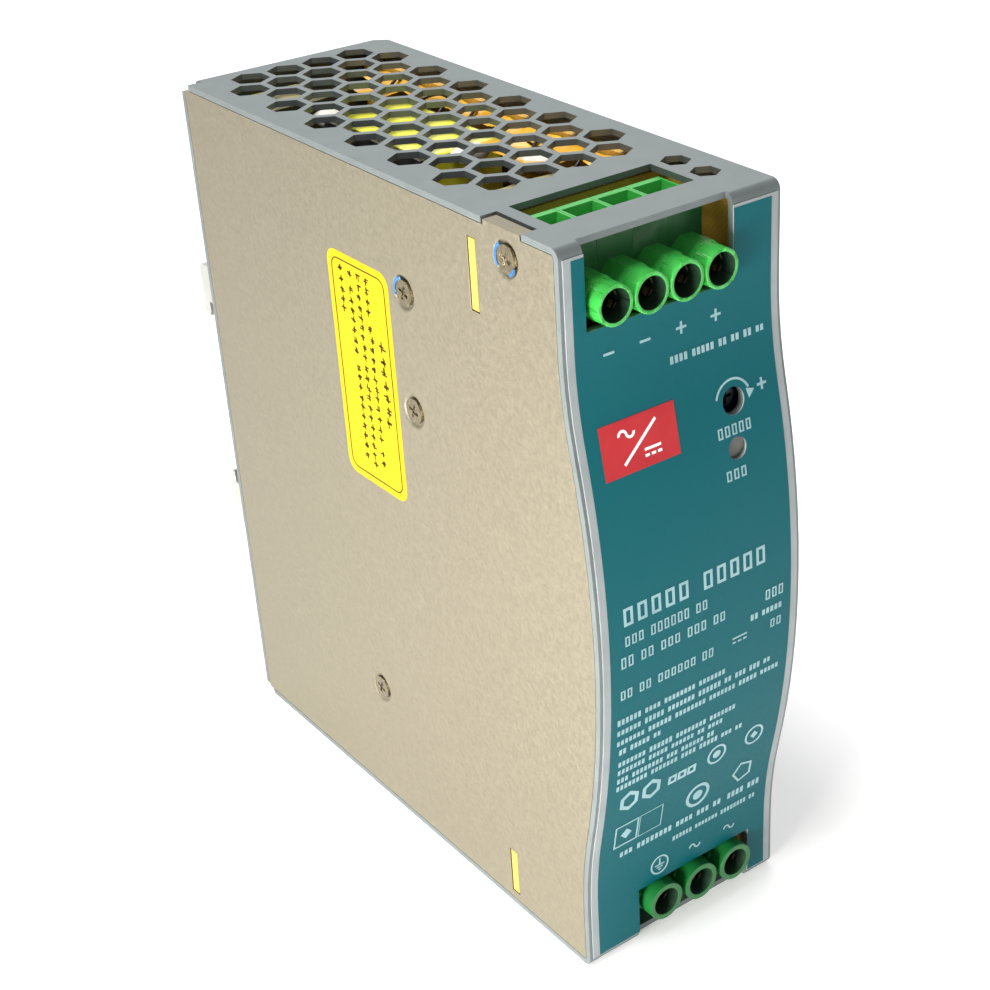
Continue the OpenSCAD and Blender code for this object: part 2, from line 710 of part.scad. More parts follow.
// Transformer: two joined E cores, a bobbin and the taped winding around its upright middle leg
core_x = [x_board - 5.5 - core_t, x_board - 5.5];
core_y0 = y_behind_board + 31;
core_y = [core_y0, core_y0 + core_w];
core_z = [z_ceiling - 2.8 - core_h, z_ceiling - 2.8];
core_mid = [(core_x[0] + core_x[1]) / 2, (core_y[0] + core_y[1]) / 2];
yoke = 5.5;
leg = 4;
middle_leg_r = 4.4;
module transformer_core() {
  color("dimgray") {
    for (z = [[core_z[0], core_z[0] + yoke], [core_z[1] - yoke, core_z[1]]]) block(core_x, core_y, z);
    for (y = [[core_y[0], core_y[0] + leg], [core_y[1] - leg, core_y[1]]])
      block(core_x, y, core_z + [yoke - 0.1, 0.1 - yoke]);
    bar_z(core_mid[0], core_mid[1], core_z + [yoke - 0.1, 0.1 - yoke], middle_leg_r);
  }
}

flange_t = 1.2;
module transformer_bobbin() {
  bobbin_z = core_z + [yoke + 0.03, -yoke - 0.03];
  color("ivory") difference() {
    union() {
      bar_z(core_mid[0], core_mid[1], bobbin_z, middle_leg_r + 1.2);
      for (z = [bobbin_z[0], bobbin_z[1] - flange_t]) {
        bar_z(core_mid[0], core_mid[1], span(z, 0, flange_t), winding_r);
        block([core_mid[0], x_board], span(core_mid[1], -8, 8), span(z, 0, flange_t));
      }
    }
    bar_z(core_mid[0], core_mid[1], core_z, middle_leg_r + 0.03);
  }
}

module transformer_winding() {
  winding_z = core_z + [yoke + 0.05 + flange_t, -yoke - 0.05 - flange_t];
  color("yellow") difference() {
    bar_z(core_mid[0], core_mid[1], winding_z, winding_r);
    bar_z(core_mid[0], core_mid[1], core_z, middle_leg_r + 1.3);
  }
}

// A can capacitor that stands on the main board, with a groove near its base
module can(y, z, r, length) {
  difference() {
    bar_x([x_board - length, x_board], y, z, r);
    translate([x_board - 4, y, z]) rotate([0, 90, 0])
      rotate_extrude() translate([r + 0.5, 0]) circle(1, $fn = 24);
  }
}

bulk_at = [y_inside - 3 - bulk_r, 62];
module bulk_capacitor() {
  color("midnightblue") can(bulk_at[0], bulk_at[1], bulk_r, 31);
}

cap_step = 2 * output_cap_r + 1;
output_cap_at = [for (k = [0 : 2])
  [y_behind_board + 2 + output_cap_r + (k % 2) * cap_step, z_top - 56 - floor(k / 2) * cap_step]];
module output_capacitors() {
  color("midnightblue") for (at = output_cap_at) can(at[0], at[1], output_cap_r, 22);
}

module x_capacitor() {
  color("gold") block([x_board - 18, x_board], span(y_behind_board, 3, 19), [38, 49]);
}

fuse_at = [x_board - 5, y_board - 8];
module fuse() {
  color("white") {
    bar_z(fuse_at[0], fuse_at[1], [26, 40], 2.3);
    for (z = [[21, 26], [40, 45]]) bar_z(fuse_at[0], fuse_at[1], z, 2.6);
    for (z = [[22.5, 24.5], [41.5, 43.5]])
      block([fuse_at[0], x_board], span(fuse_at[1], -0.6, 0.6), z);
  }
}

// A ring core that stands beside the main board, with its axis across the case
module ring(at, ring_r, r, turn) {
  translate(at) rotate([0, 90, 0]) rotate([0, 0, turn[0]])
    rotate_extrude(angle = turn[1]) translate([ring_r, 0]) circle(r, $fn = 32);
}

// A winding around part of a ring core
module ring_winding(at, ring_r, r, turn) {
  difference() {
    ring(at, ring_r, r + 1.1, turn);
    ring(at, ring_r, r + 0.05, [turn[0] - 5, turn[1] + 10]);
  }
}

choke_at = [x_board - 7, y_behind_board + 13, 25];
choke_ring = 6.6;
module choke_core() {
  color("darkolivegreen") ring(choke_at, choke_ring, 2.4, [0, 360]);
}
module choke_windings() {
  color("peru") for (start = [20, 200]) ring_winding(choke_at, choke_ring, 2.4, [start, 140]);
}

inductor_at = [x_board - 8, y_behind_board + 10.4, z_top - 24];
inductor_ring = 5.4;
module inductor_core() {
  color("khaki") ring(inductor_at, inductor_ring, 2.2, [0, 360]);
}
module inductor_winding() {
  color("chocolate") ring_winding(inductor_at, inductor_ring, 2.2, [30, 300]);
}

// L-shaped heatsinks: a plate on the thermal pad and a wall across to the main board
module heatsink(y, z, holes) {
  difference() {
    union() {
      block([x_sink, x_sink_in], y, z);
      block([x_sink, x_board], [y[1] - heatsink_t, y[1]], z);
    }
    for (at = holes) bar_x([x_sink - 1, x_sink_in + 1], at[0], at[1], side_shank_r + 0.05);
  }
}
module secondary_heatsink() {
  color("silver") heatsink(secondary_y, secondary_z, [heatsink_screw_at[0], heatsink_screw_at[1]]);
}
module primary_heatsink() {
  color("silver") heatsink(primary_y, primary_z, [heatsink_screw_at[2]]);
}

// A power transistor that lies on a heatsink's wall, with its tab and its legs to the board
module power_package(x, y, z) {
  block([x - 15, x], span(y, -4.4, 0), span(z, -5, 5));
  for (k = [-1 : 1]) block([x - 0.5, x_board], span(y, -2.4, -1.6), span(z + 2.5 * k, -0.4, 0.4));
}
module output_diodes() {
  color("black") for (z = span(secondary_z[0], 7.5, 19.5))
    power_package(x_board - 5, secondary_y[1] - heatsink_t, z);
}
module switching_transistor() {
  color("black") power_package(x_board - 5, primary_y[1] - heatsink_t, primary_z[0] + 15);
}

module bridge_rectifier() {
  color("black") block([x_board - 17, x_board - 3], span(primary_y[0], 4, 8), span(primary_z[0], 6, 25));
  color("black") for (k = [0 : 3])
    block([x_board - 3, x_board], span(primary_y[0], 5.6, 6.4), span(primary_z[0] + 9 + 4.2 * k, -0.4, 0.4));
}

// Thermistor, safety capacitors, chips and resistors on the main board
module small_components() {
  back_y = y_inside - 6;
  color("darkgreen") bar_z(x_board - 6, y_board - 9, [54, 58], 6);
  color("steelblue") for (z = [72, 79]) bar_z(x_board - 4.5, y_board - 9, [z, z + 3.2], 4.5);
  color("black") for (z = [8, 18, 28]) block([x_board - 1.6, x_board], span(back_y, -9, -4), span(z, 0, 6));
  color("burlywood") for (z = [z_top - 16, z_top - 13, z_top - 10])
    bar_y(x_board - 2, [y_inside - 19, y_inside - 11], z, 1.2);
}

case_body();
side_cover();
front_label();
side_label();
insulation_sheet();
cover_screw();
heatsink_screws();
thermal_pads();
rail_bracket();
bracket_screws();
rail_latch();
latch_rivets();
latch_spring();
main_board();
front_board();
board_spacers();
board_screws();
terminal_pins();
for (i = [1 : OUTPUTS]) {
  color("limegreen") at_output(i) terminal_housing(output_pitch, output_tube_r, output_end);
  color("silver") at_output(i) terminal_screw();
  color("silver") at_output(i) terminal_clamp();
}
for (i = [1 : INPUTS]) {
  color("green") at_input(i) terminal_housing(input_pitch, input_tube_r, input_end);
  color("silver") at_input(i) terminal_screw();
  color("silver") at_input(i) terminal_clamp();
}
trimmer_body();
trimmer_rotor();
indicator_led();
light_pipe();
transformer_core();
transformer_bobbin();
transformer_winding();
bulk_capacitor();
output_capacitors();
x_capacitor();
fuse();
choke_core();
choke_windings();
inductor_core();
inductor_winding();
secondary_heatsink();
primary_heatsink();
output_diodes();
switching_transistor();
bridge_rectifier();
small_components();
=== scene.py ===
"""DIN rail power supply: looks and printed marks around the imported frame."""
import bisect
import json
import math
import random

import bmesh
import bpy
from bpy.props import BoolProperty, FloatProperty, FloatVectorProperty, IntProperty, PointerProperty
from mathutils import Euler, Matrix, Vector


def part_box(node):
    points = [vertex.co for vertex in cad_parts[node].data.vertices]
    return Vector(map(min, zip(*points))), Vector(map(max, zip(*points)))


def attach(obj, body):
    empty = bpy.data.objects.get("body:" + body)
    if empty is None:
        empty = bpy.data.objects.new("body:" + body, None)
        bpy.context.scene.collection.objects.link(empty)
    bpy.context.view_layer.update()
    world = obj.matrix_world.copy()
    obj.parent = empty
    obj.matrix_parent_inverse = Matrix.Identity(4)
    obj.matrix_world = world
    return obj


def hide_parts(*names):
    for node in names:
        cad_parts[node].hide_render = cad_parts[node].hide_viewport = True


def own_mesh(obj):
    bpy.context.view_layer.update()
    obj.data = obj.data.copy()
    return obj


bl_info = {
    "name": "DIN Rail Power Supply",
    "version": (1, 0, 0),
    "blender": (4, 5, 0),
    "location": "View3D > Sidebar > Power Supply",
    "description": "Dresses a DIN rail power supply: sheet metal, printed labels, terminals and power parts",
    "category": "Object",
}

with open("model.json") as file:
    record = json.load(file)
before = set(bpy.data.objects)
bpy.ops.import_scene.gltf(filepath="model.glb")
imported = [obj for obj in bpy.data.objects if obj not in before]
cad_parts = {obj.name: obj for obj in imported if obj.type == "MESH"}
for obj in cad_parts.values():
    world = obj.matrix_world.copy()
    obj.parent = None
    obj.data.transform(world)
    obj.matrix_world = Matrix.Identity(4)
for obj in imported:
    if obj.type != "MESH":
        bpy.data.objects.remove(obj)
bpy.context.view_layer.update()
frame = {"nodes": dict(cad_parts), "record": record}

MM = 0.001
CASE_LOW, CASE_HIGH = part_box("case_body")
LABEL_LOW, LABEL_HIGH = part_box("front_label")
TOP = CASE_HIGH.z
PRINT_Y = LABEL_LOW.y - 4 * MM
ENTRY_Z = {mount["name"]: mount["pos_m"][2] for mount in frame["record"]["mounts"]
           if mount["kind"] == "bore"}
TUBE_RADIUS = 3.05 * MM
# Lower edge of the output cut-out and upper edge of the input one
MOUTHS = {"output_terminal_": ENTRY_Z["output_entry_1"] - TUBE_RADIUS,
          "input_terminal_": ENTRY_Z["input_entry_1"] + TUBE_RADIUS + 0.35 * MM}
# Hole over the trimmer, ring of lips in a wire entry, thickness of printed ink
ADJUST_RADIUS = 2.1 * MM
LIP_RADIUS = 2.1 * MM
INK = 0.03 * MM


def mm(value):
    """A length in the frame's metres as millimetres."""
    return value / MM


def between(keys, values, at):
    """The value at one place, straight between measured points."""
    k = min(max(bisect.bisect_right(keys, at) - 1, 0), len(keys) - 2)
    return values[k] + (values[k + 1] - values[k]) * (at - keys[k]) / (keys[k + 1] - keys[k])


# ---------------------------------------------------------------- settings

class SheetSettings(bpy.types.PropertyGroup):
    """Sheet metal of the case, the cover and the rail clip"""
    edge_round: FloatProperty(
        name="Edge rounding", description="Radius of the broken edges of the sheet parts",
        default=0.22 * MM, min=0.05 * MM, max=0.4 * MM, unit="LENGTH")
    case_colour: FloatVectorProperty(
        name="Case", description="Colour of the galvanised case", subtype="COLOR_GAMMA",
        default=(0.639, 0.663, 0.675))
    cover_colour: FloatVectorProperty(
        name="Cover", description="Colour of the grained side cover", subtype="COLOR_GAMMA",
        default=(0.780, 0.765, 0.730))


class PrintSettings(bpy.types.PropertyGroup):
    """Printed films on the front and on the side"""
    border: FloatProperty(
        name="Border", description="Width of the light border around the front print",
        default=1.3 * MM, min=0.5 * MM, max=3 * MM, unit="LENGTH")
    glyph_seed: IntProperty(
        name="Filler seed", description="Seed of the filler marks that stand in for lettering", default=7)
    rounded: BoolProperty(
        name="Side border", description="Draw the rounded border of the side label", default=True)


class StageSettings(bpy.types.PropertyGroup):
    """Floor, light and camera"""
    camera_place: FloatVectorProperty(
        name="Camera", description="Place of the camera", subtype="TRANSLATION",
        default=(-156.1 * MM, -237.4 * MM, 215.7 * MM))
    azimuth: FloatProperty(
        name="Azimuth", description="How far the camera looks to the right of the front's normal",
        default=math.radians(37.26), subtype="ANGLE")
    elevation: FloatProperty(
        name="Elevation", description="How far the camera looks down", default=math.radians(29.33),
        subtype="ANGLE")
    roll: FloatProperty(name="Roll", description="Turn about the view axis", default=math.radians(-2.23),
                        subtype="ANGLE")
    lens: FloatProperty(name="Lens", description="Focal length in millimetres", default=67.85,
                        min=20, max=200)
    shift_x: FloatProperty(name="Shift X", description="Sideways lens shift", default=-0.1)
    shift_y: FloatProperty(name="Shift Y", description="Upward lens shift", default=0.0101)


SETTINGS = (SheetSettings, PrintSettings, StageSettings)


def settings(kind):
    """The scene's settings of one PropertyGroup."""
    return getattr(bpy.context.scene, "supply_" + kind)


# ---------------------------------------------------------------- material helpers

def linear(colour):
    """An sRGB hex string or an sRGB triple as a linear RGBA colour."""
    if isinstance(colour, str):
        colour = [int(colour[k:k + 2], 16) / 255 for k in (1, 3, 5)]
    return [c / 12.92 if c <= 0.04045 else ((c + 0.055) / 1.055) ** 2.4 for c in colour] + [1.0]


def add_node(tree, kind, inputs=None, **attributes):
    """Adds a node with its settings, and links or fills its inputs."""
    made = tree.nodes.new("ShaderNode" + kind)
    for name, value in attributes.items():
        setattr(made, name, value)
    for socket, value in (inputs or {}).items():
        if isinstance(value, bpy.types.NodeSocket):
            tree.links.new(value, made.inputs[socket])
        else:
            made.inputs[socket].default_value = value
    return made


def material(name, **shader):
    """A material of one Principled shader, with its node tree and its object coordinates."""
    made = bpy.data.materials.new(name)
    made.use_nodes = True
    tree = made.node_tree
    bsdf = tree.nodes["Principled BSDF"]
    for socket, value in shader.items():
        label = socket.replace("_", " ").title().replace("Ior", "IOR")
        bsdf.inputs[label].default_value = linear(value) if socket == "base_color" else value
    made.diffuse_color = bsdf.inputs["Base Color"].default_value
    return made, tree, bsdf, add_node(tree, "TexCoord").outputs["Object"]


def noise(tree, coords, size_mm, detail=3.0, roughness=0.5, squeeze=(1, 1, 1)):
    """Noise whose blobs are about size_mm across; squeeze above 1 makes them finer on that axis."""
    placed = add_node(tree, "Mapping", {"Vector": coords, "Scale": squeeze})
    return add_node(tree, "TexNoise", {
        "Vector": placed.outputs["Vector"], "Scale": 1000 / size_mm, "Detail": detail,
        "Roughness": roughness}).outputs["Fac"]


def spread(tree, value, low, high, from_low=0.3, from_high=0.7):
    """Maps a noise value to a range."""
    return add_node(tree, "MapRange", {
        "Value": value, "From Min": from_low, "From Max": from_high, "To Min": low, "To Max": high,
    }).outputs["Result"]


def tint(tree, bsdf, factor, low, high):
    """Mixes two colours by a factor into the base colour."""
    mixed = add_node(tree, "Mix", {"Factor": factor, "A": linear(low), "B": linear(high)},
                     data_type="RGBA")
    for socket in mixed.inputs:
        if socket.type == "RGBA" and socket.name in "AB":
            socket.default_value = linear(low if socket.name == "A" else high)
    tree.links.new([o for o in mixed.outputs if o.type == "RGBA"][0], bsdf.inputs["Base Color"])


def relief(tree, bsdf, height, depth_mm, strength=1.0):
    """Bumps the surface by a height pattern of about depth_mm."""
    bumped = add_node(tree, "Bump", {"Height": height, "Strength": strength, "Distance": depth_mm * MM})
    tree.links.new(bumped.outputs["Normal"], bsdf.inputs["Normal"])


def rough(tree, bsdf, value):
    """Drives the roughness by a pattern."""
    tree.links.new(value, bsdf.inputs["Roughness"])


# ---------------------------------------------------------------- materials

def galvanised_steel():
    """Galvanised sheet, bent after plating: a dull blue-grey with a soft, wide highlight."""
    made, tree, bsdf, coords = material("galvanised_steel", metallic=0.7, roughness=0.5)
    clouds = noise(tree, coords, 5, 4)
    tint(tree, bsdf, spread(tree, clouds, 0, 1), "#747b7b", "#7d8484")
    rough(tree, bsdf, spread(tree, clouds, 0.46, 0.54))
    relief(tree, bsdf, noise(tree, coords, 0.5, 2), 0.015, 0.6)
    return made


def grained_aluminium():
    """Rolled aluminium cover with a fine leather grain: warm silver, the grain breaks up its gloss."""
    made, tree, bsdf, coords = material("grained_aluminium", metallic=0.85, roughness=0.46)
    rolled = noise(tree, coords, 0.9, 4, 0.65)
    tint(tree, bsdf, spread(tree, rolled, 0, 1), "#807967", "#918a77")
    grain = add_node(tree, "TexVoronoi", {"Vector": coords, "Scale": 1000 / 0.9}, feature="SMOOTH_F1")
    blend = add_node(tree, "Math", {0: grain.outputs["Distance"], 1: rolled}, operation="MULTIPLY")
    rough(tree, bsdf, spread(tree, rolled, 0.4, 0.56))
    relief(tree, bsdf, blend.outputs["Value"], 0.09, 0.8)
    return made


def zinc_plated_steel():
    """Zinc-plated spring sheet of the rail clip: light grey with faint rolling lines."""
    made, tree, bsdf, coords = material("zinc_plated_steel", metallic=0.9, roughness=0.38)
    lines = noise(tree, coords, 3, 4, 0.6, (6, 1, 0.4))
    tint(tree, bsdf, spread(tree, lines, 0, 1), "#b4b3ad", "#c6c5bf")
    rough(tree, bsdf, spread(tree, lines, 0.3, 0.46))
    return made


def nickel_plated_steel(name, low, high):
    """Nickel-plated screws and clamps: bright, slightly warm, with small scuffs from the driver."""
    made, tree, bsdf, coords = material(name, metallic=1.0, roughness=0.26)
    scuffs = noise(tree, coords, 0.7, 4, 0.7)
    tint(tree, bsdf, spread(tree, scuffs, 0, 1), low, high)
    rough(tree, bsdf, spread(tree, scuffs, 0.18, 0.38))
    return made


def black_steel():
    """Blackened steel of the rivets and bracket screws: dark with a soft sheen."""
    made, tree, bsdf, coords = material("black_steel", metallic=0.9, roughness=0.4)
    tint(tree, bsdf, spread(tree, noise(tree, coords, 1.2, 3), 0, 1), "#4c4c4e", "#636366")
    return made


def spring_wire():
    """Drawn spring wire: bright along its length."""
    made, tree, bsdf, coords = material("spring_wire", metallic=1.0, roughness=0.25)
    tint(tree, bsdf, spread(tree, noise(tree, coords, 0.5, 2), 0, 1), "#a8a8a6", "#c9c9c7")
    return made


def printed_film(name, low, high, gloss=0.42, grain_mm=0.35, shine=0.5):
    """Screen-printed polyester film: even colour, a fine grain and a soft gloss."""
    made, tree, bsdf, coords = material(name, roughness=gloss, ior=1.58)
    bsdf.inputs["Specular IOR Level"].default_value = shine
    tint(tree, bsdf, spread(tree, noise(tree, coords, 6, 2), 0, 1), low, high)
    relief(tree, bsdf, noise(tree, coords, grain_mm, 2), 0.01, 0.4)
    return made


def front_film():
    """Teal front film: a fine crystal grain in its lacquer, and painted light that makes it a little lighter
    towards the top.
    """
    made, tree, bsdf, coords = material("front_film_teal", roughness=0.4, ior=1.58)
    # Painted light: the colour runs a little lighter from the base to the top
    height = add_node(tree, "SeparateXYZ", {"Vector": coords}).outputs["Z"]
    painted_top_light = add_node(tree, "MapRange", {
        "Value": height, "From Min": 0.0, "From Max": TOP, "To Min": 0.0, "To Max": 1.0}).outputs["Result"]
    bsdf.inputs["Specular IOR Level"].default_value = 0.12
    tint(tree, bsdf, painted_top_light, "#00545b", "#00565e")
    crystals = noise(tree, coords, 0.45, 3, 0.6)
    rough(tree, bsdf, spread(tree, crystals, 0.34, 0.5))
    relief(tree, bsdf, crystals, 0.02, 0.5)
    return made


def moulded_nylon(name, low, high):
    """Moulded polyamide of the terminals: saturated, a little translucent, with a satin skin."""
    made, tree, bsdf, coords = material(name, roughness=0.34, ior=1.53)
    bsdf.inputs["Subsurface Weight"].default_value = 0.12
    bsdf.inputs["Subsurface Radius"].default_value = (0.3 * MM, 1.0 * MM, 0.35 * MM)
    bsdf.inputs["Subsurface Scale"].default_value = 1.0
    skin = noise(tree, coords, 0.5, 2)
    tint(tree, bsdf, spread(tree, noise(tree, coords, 5, 2), 0, 1), low, high)
    rough(tree, bsdf, spread(tree, skin, 0.3, 0.42))
    relief(tree, bsdf, skin, 0.008, 0.4)
    return made


def moulded(name, low, high, roughness=0.45, ior=1.5, size_mm=1.5, depth_mm=0.01):
    """Moulded or cast parts with a fine skin: epoxy, phenolic, ceramic."""
    made, tree, bsdf, coords = material(name, roughness=roughness, ior=ior)
    skin = noise(tree, coords, size_mm, 3)
    tint(tree, bsdf, spread(tree, skin, 0, 1), low, high)
    relief(tree, bsdf, noise(tree, coords, size_mm / 3, 2), depth_mm, 0.5)
    return made


def glass_fibre_board():
    """Unmasked glass-fibre board: amber laminate with the faint weave of its cloth, 0.5 mm between threads."""
    made, tree, bsdf, coords = material("glass_fibre_board", roughness=0.5, ior=1.55)
    weave = add_node(tree, "TexChecker", {"Vector": coords, "Scale": 1000 / 0.5}).outputs["Fac"]
    cloud = noise(tree, coords, 2.5, 3)
    blend = add_node(tree, "Math", {0: weave, 1: cloud}, operation="MULTIPLY").outputs["Value"]
    tint(tree, bsdf, spread(tree, blend, 0, 1, 0, 0.8), "#c99a38", "#d8ab48")
    relief(tree, bsdf, blend, 0.015, 0.4)
    return made


def polyimide_film():
    """Polyimide film over the board's edge: clear amber, glossy, slightly rumpled."""
    made, tree, bsdf, coords = material("polyimide_film", roughness=0.25, ior=1.7)
    rumples = noise(tree, coords, 5, 3)
    tint(tree, bsdf, spread(tree, rumples, 0, 1), "#e2a01c", "#f7c545")
    relief(tree, bsdf, rumples, 0.25, 0.6)
    return made


def enamelled_copper():
    """Enamelled copper wire laid in turns 0.6 mm apart: orange gold with dark gaps."""
    made, tree, bsdf, coords = material("enamelled_copper", metallic=0.6, roughness=0.32)
    rings = add_node(tree, "TexWave", {"Vector": coords, "Scale": 1000 / 0.6 / 6.28, "Distortion": 0.6},
                     bands_direction="Y").outputs["Fac"]
    tint(tree, bsdf, rings, "#8a4a16", "#e08a35")
    relief(tree, bsdf, rings, 0.12, 0.8)
    return made


def polyester_tape():
    """Yellow polyester winding tape: glossy, slightly see-through, wrinkled where it laps."""
    made, tree, bsdf, coords = material("polyester_tape", roughness=0.22, ior=1.6)
    wrinkles = noise(tree, coords, 4, 3, 0.6, (0.5, 0.5, 2))
    tint(tree, bsdf, spread(tree, wrinkles, 0, 1), "#e3de2a", "#f4f25c")
    relief(tree, bsdf, wrinkles, 0.15, 0.5)
    return made


def extruded_aluminium():
    """Plain stamped aluminium of the heatsinks: pale, with rolling lines."""
    made, tree, bsdf, coords = material("stamped_aluminium", metallic=1.0, roughness=0.4)
    lines = noise(tree, coords, 2, 4, 0.6, (1, 8, 0.5))
    tint(tree, bsdf, spread(tree, lines, 0, 1), "#b9b7b0", "#cfcdc7")
    rough(tree, bsdf, spread(tree, lines, 0.3, 0.5))
    return made


def light_guide():
    """Milky acrylic light guide over the unlit lamp."""
    made, tree, bsdf, coords = material("milky_acrylic", roughness=0.3, ior=1.49)
    tint(tree, bsdf, spread(tree, noise(tree, coords, 1.5, 2), 0, 1), "#3c4643", "#574d47")
    return made


def bore_shade():
    """Inner skin of the wire entries: rough nylon made dark green, painted shade of the deep bore."""
    made, tree, bsdf, coords = material("nylon_bore_painted_shade", roughness=0.5, ior=1.53)
    tint(tree, bsdf, spread(tree, noise(tree, coords, 1.2, 3), 0, 1), "#0f2417", "#1b3a26")
    return made


def clear_green_lens():
    """Unlit green lamp: a clear tinted epoxy lens."""
    made, tree, bsdf, coords = material("clear_green_epoxy", roughness=0.15, ior=1.54)
    tint(tree, bsdf, noise(tree, coords, 2, 1), "#5fae62", "#7cc77e")
    return made


def pale_floor():
    """Matt studio paper under the supply, lit through from below: white, with a barely visible tooth."""
    made, tree, bsdf, coords = material("studio_paper", roughness=0.8, emission_strength=0.22)
    tint(tree, bsdf, noise(tree, coords, 60, 2), "#f4f4f3", "#fafafa")
    bsdf.inputs["Emission Color"].default_value = linear("#ffffff")
    return made


def make_materials():
    """Every finish of the supply, by the name of its slot or its ink."""
    return {
        "case_metal": galvanised_steel(),
        "cover_metal": grained_aluminium(),
        "front_label": printed_film("film_light_grey", "#858b8d", "#909698"),
        "teal": front_film(),
        "side_label": printed_film("film_yellow", "#b39300", "#ba9a00", 0.5, shine=0.1),
        "ink_light": printed_film("ink_pale_grey", "#7fa3aa", "#8fb0b6", shine=0.25),
        "ink_dark": printed_film("ink_brown_black", "#2e290a", "#3a340e", 0.5, shine=0.1),
        "badge_red": printed_film("ink_red", "#a81c22", "#b5262b", shine=0.25),
        "badge_white": printed_film("ink_white", "#f0f0f0", "#fbfbfb"),
        "insulation": printed_film("mica_film", "#c9c7b4", "#d9d7c6", 0.3, 2),
        "screw_steel": nickel_plated_steel("nickel_plated_screw", "#665d49", "#8b8168"),
        "clamp_steel": nickel_plated_steel("nickel_plated_clamp", "#c8c4b8", "#dedbd2"),
        "dark_steel": black_steel(),
        "clip_steel": zinc_plated_steel(),
        "spring_steel": spring_wire(),
        "thermal_pad": moulded("silicone_pad", "#8fa3b5", "#a3b4c2", 0.7, 1.41),
        "board": glass_fibre_board(),
        "contact_brass": nickel_plated_steel("tinned_brass", "#cdbf9c", "#dccfae"),
        "trimmer_blue": moulded("trimmer_blue_resin", "#0c1836", "#142246", 0.4),
        "trimmer_dark": moulded("trimmer_rotor_resin", "#15171a", "#202327", 0.4),
        "white_plastic": moulded("white_polyester_resin", "#dcdad0", "#ebe9e0", 0.4),
        "led": clear_green_lens(),
        "light_pipe": light_guide(),
        "ferrite": moulded("sintered_ferrite", "#26272a", "#38393d", 0.35, 2.0, 0.8, 0.02),
        "yellow_tape": polyester_tape(),
        "capacitor_sleeve": printed_film("shrink_sleeve", "#141a2c", "#1d2438", 0.25, 3),
        "film_yellow": moulded("flame_retardant_resin", "#d9b222", "#e6c23a", 0.4),
        "fuse_white": moulded("steatite_ceramic", "#d8d6cf", "#eceae4", 0.3, 1.6),
        "ferrite_green": moulded("coated_ferrite", "#3b4a34", "#4a5c41", 0.35),
        "ferrite_yellow": moulded("coated_iron_powder", "#cfc352", "#ded267", 0.4),
        "copper_wire": enamelled_copper(),
        "heatsink_aluminium": extruded_aluminium(),
        "black_epoxy": moulded("moulded_epoxy", "#151516", "#202022", 0.5),
        "ceramic_blue": moulded("dipped_ceramic", "#1e5a86", "#2b6a98", 0.3),
        "terminal_green": moulded_nylon("nylon_bright_green", "#2f9c3a", "#3aa644"),
        "terminal_dark_green": moulded_nylon("nylon_green", "#0d5c24", "#13672b"),
        # Painted shade: the housing's recessed front face under the lip, the same nylon drawn darker
        "terminal_face_painted_shade": moulded_nylon("nylon_recess_painted_shade", "#1f5a2c", "#276434"),
        "thread_lock": moulded("thread_lock_blue", "#0f4f80", "#1c6395", 0.2),
        # Painted shade: the inside of the wire entries is drawn darker than the same nylon
        "terminal_bore_painted_shade": bore_shade(),
        "amber_film": polyimide_film(),
        "press_card": moulded("press_card", "#8d8458", "#a39a6c", 0.6, 1.5, 3, 0.05),
        "silicone": moulded("silicone_bead", "#d9d6cc", "#efede6", 0.35),
        "wire_black": moulded("wire_sleeve_black", "#17181a", "#222326", 0.3),
        "paper": pale_floor(),
    }


FINISH = {}


# ---------------------------------------------------------------- modelling helpers

def deselect():
    """Leaves nothing selected, in object mode."""
    if bpy.context.object and bpy.context.object.mode != "OBJECT":
        bpy.ops.object.mode_set(mode="OBJECT")
    bpy.ops.object.select_all(action="DESELECT")


def activate(*pieces):
    """Selects only these pieces and makes the first one active."""
    deselect()
    for piece in pieces:
        piece.select_set(True)
    bpy.context.view_layer.objects.active = pieces[0]
    return pieces[0]


def settle(piece):
    """Moves a piece's place into its mesh."""
    activate(piece)
    bpy.ops.object.transform_apply(location=True, rotation=True, scale=True)
    return piece


def fuse(pieces, name):
    """Joins pieces into one, with its place in its mesh."""
    joined = activate(*pieces)
    if len(pieces) > 1:
        bpy.ops.object.join()
    joined.name = name
    joined.data.name = name
    return settle(joined)


def outline(thickness):
    """Makes the active flat face an outline of this thickness."""
    bpy.ops.object.mode_set(mode="EDIT")
    bpy.ops.mesh.select_all(action="SELECT")
    bpy.ops.mesh.inset(thickness=thickness)
    bpy.ops.mesh.delete(type="FACE")
    bpy.ops.object.mode_set(mode="OBJECT")


def drop_faces(piece, unwanted):
    """Deletes the faces that a test picks, and any loose corners they leave."""
    mesh = bmesh.new()
    mesh.from_mesh(piece.data)
    picked = [face for face in mesh.faces if unwanted(face)]
    bmesh.ops.delete(mesh, geom=picked, context="FACES")
    mesh.to_mesh(piece.data)
    mesh.free()
    return piece


def modify(piece, kind, **values):
    """Adds a modifier and applies it."""
    activate(piece)
    made = piece.modifiers.new(kind.title(), kind)
    for name, value in values.items():
        setattr(made, name, value)
    bpy.ops.object.modifier_apply(modifier=made.name)
    return piece


def dress(piece, finish, body="case"):
    """Gives a piece its finish and makes it ride on a body."""
    piece.data.materials.clear()
    piece.data.materials.append(FINISH[finish])
    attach(piece, body)
    return piece


def copy_of(node, name, flatten=True):
    """A welded copy of a CAD node's mesh, with its flat faces made whole."""
    source = frame["nodes"][node]
    piece = bpy.data.objects.new(name, source.data.copy())
    bpy.context.scene.collection.objects.link(piece)
    activate(piece)
    bpy.ops.object.mode_set(mode="EDIT")
    bpy.ops.mesh.select_all(action="SELECT")
    bpy.ops.mesh.remove_doubles(threshold=0.004 * MM)
    if flatten:
        bpy.ops.mesh.dissolve_limited(angle_limit=math.radians(0.3))
    bpy.ops.object.mode_set(mode="OBJECT")
    return piece


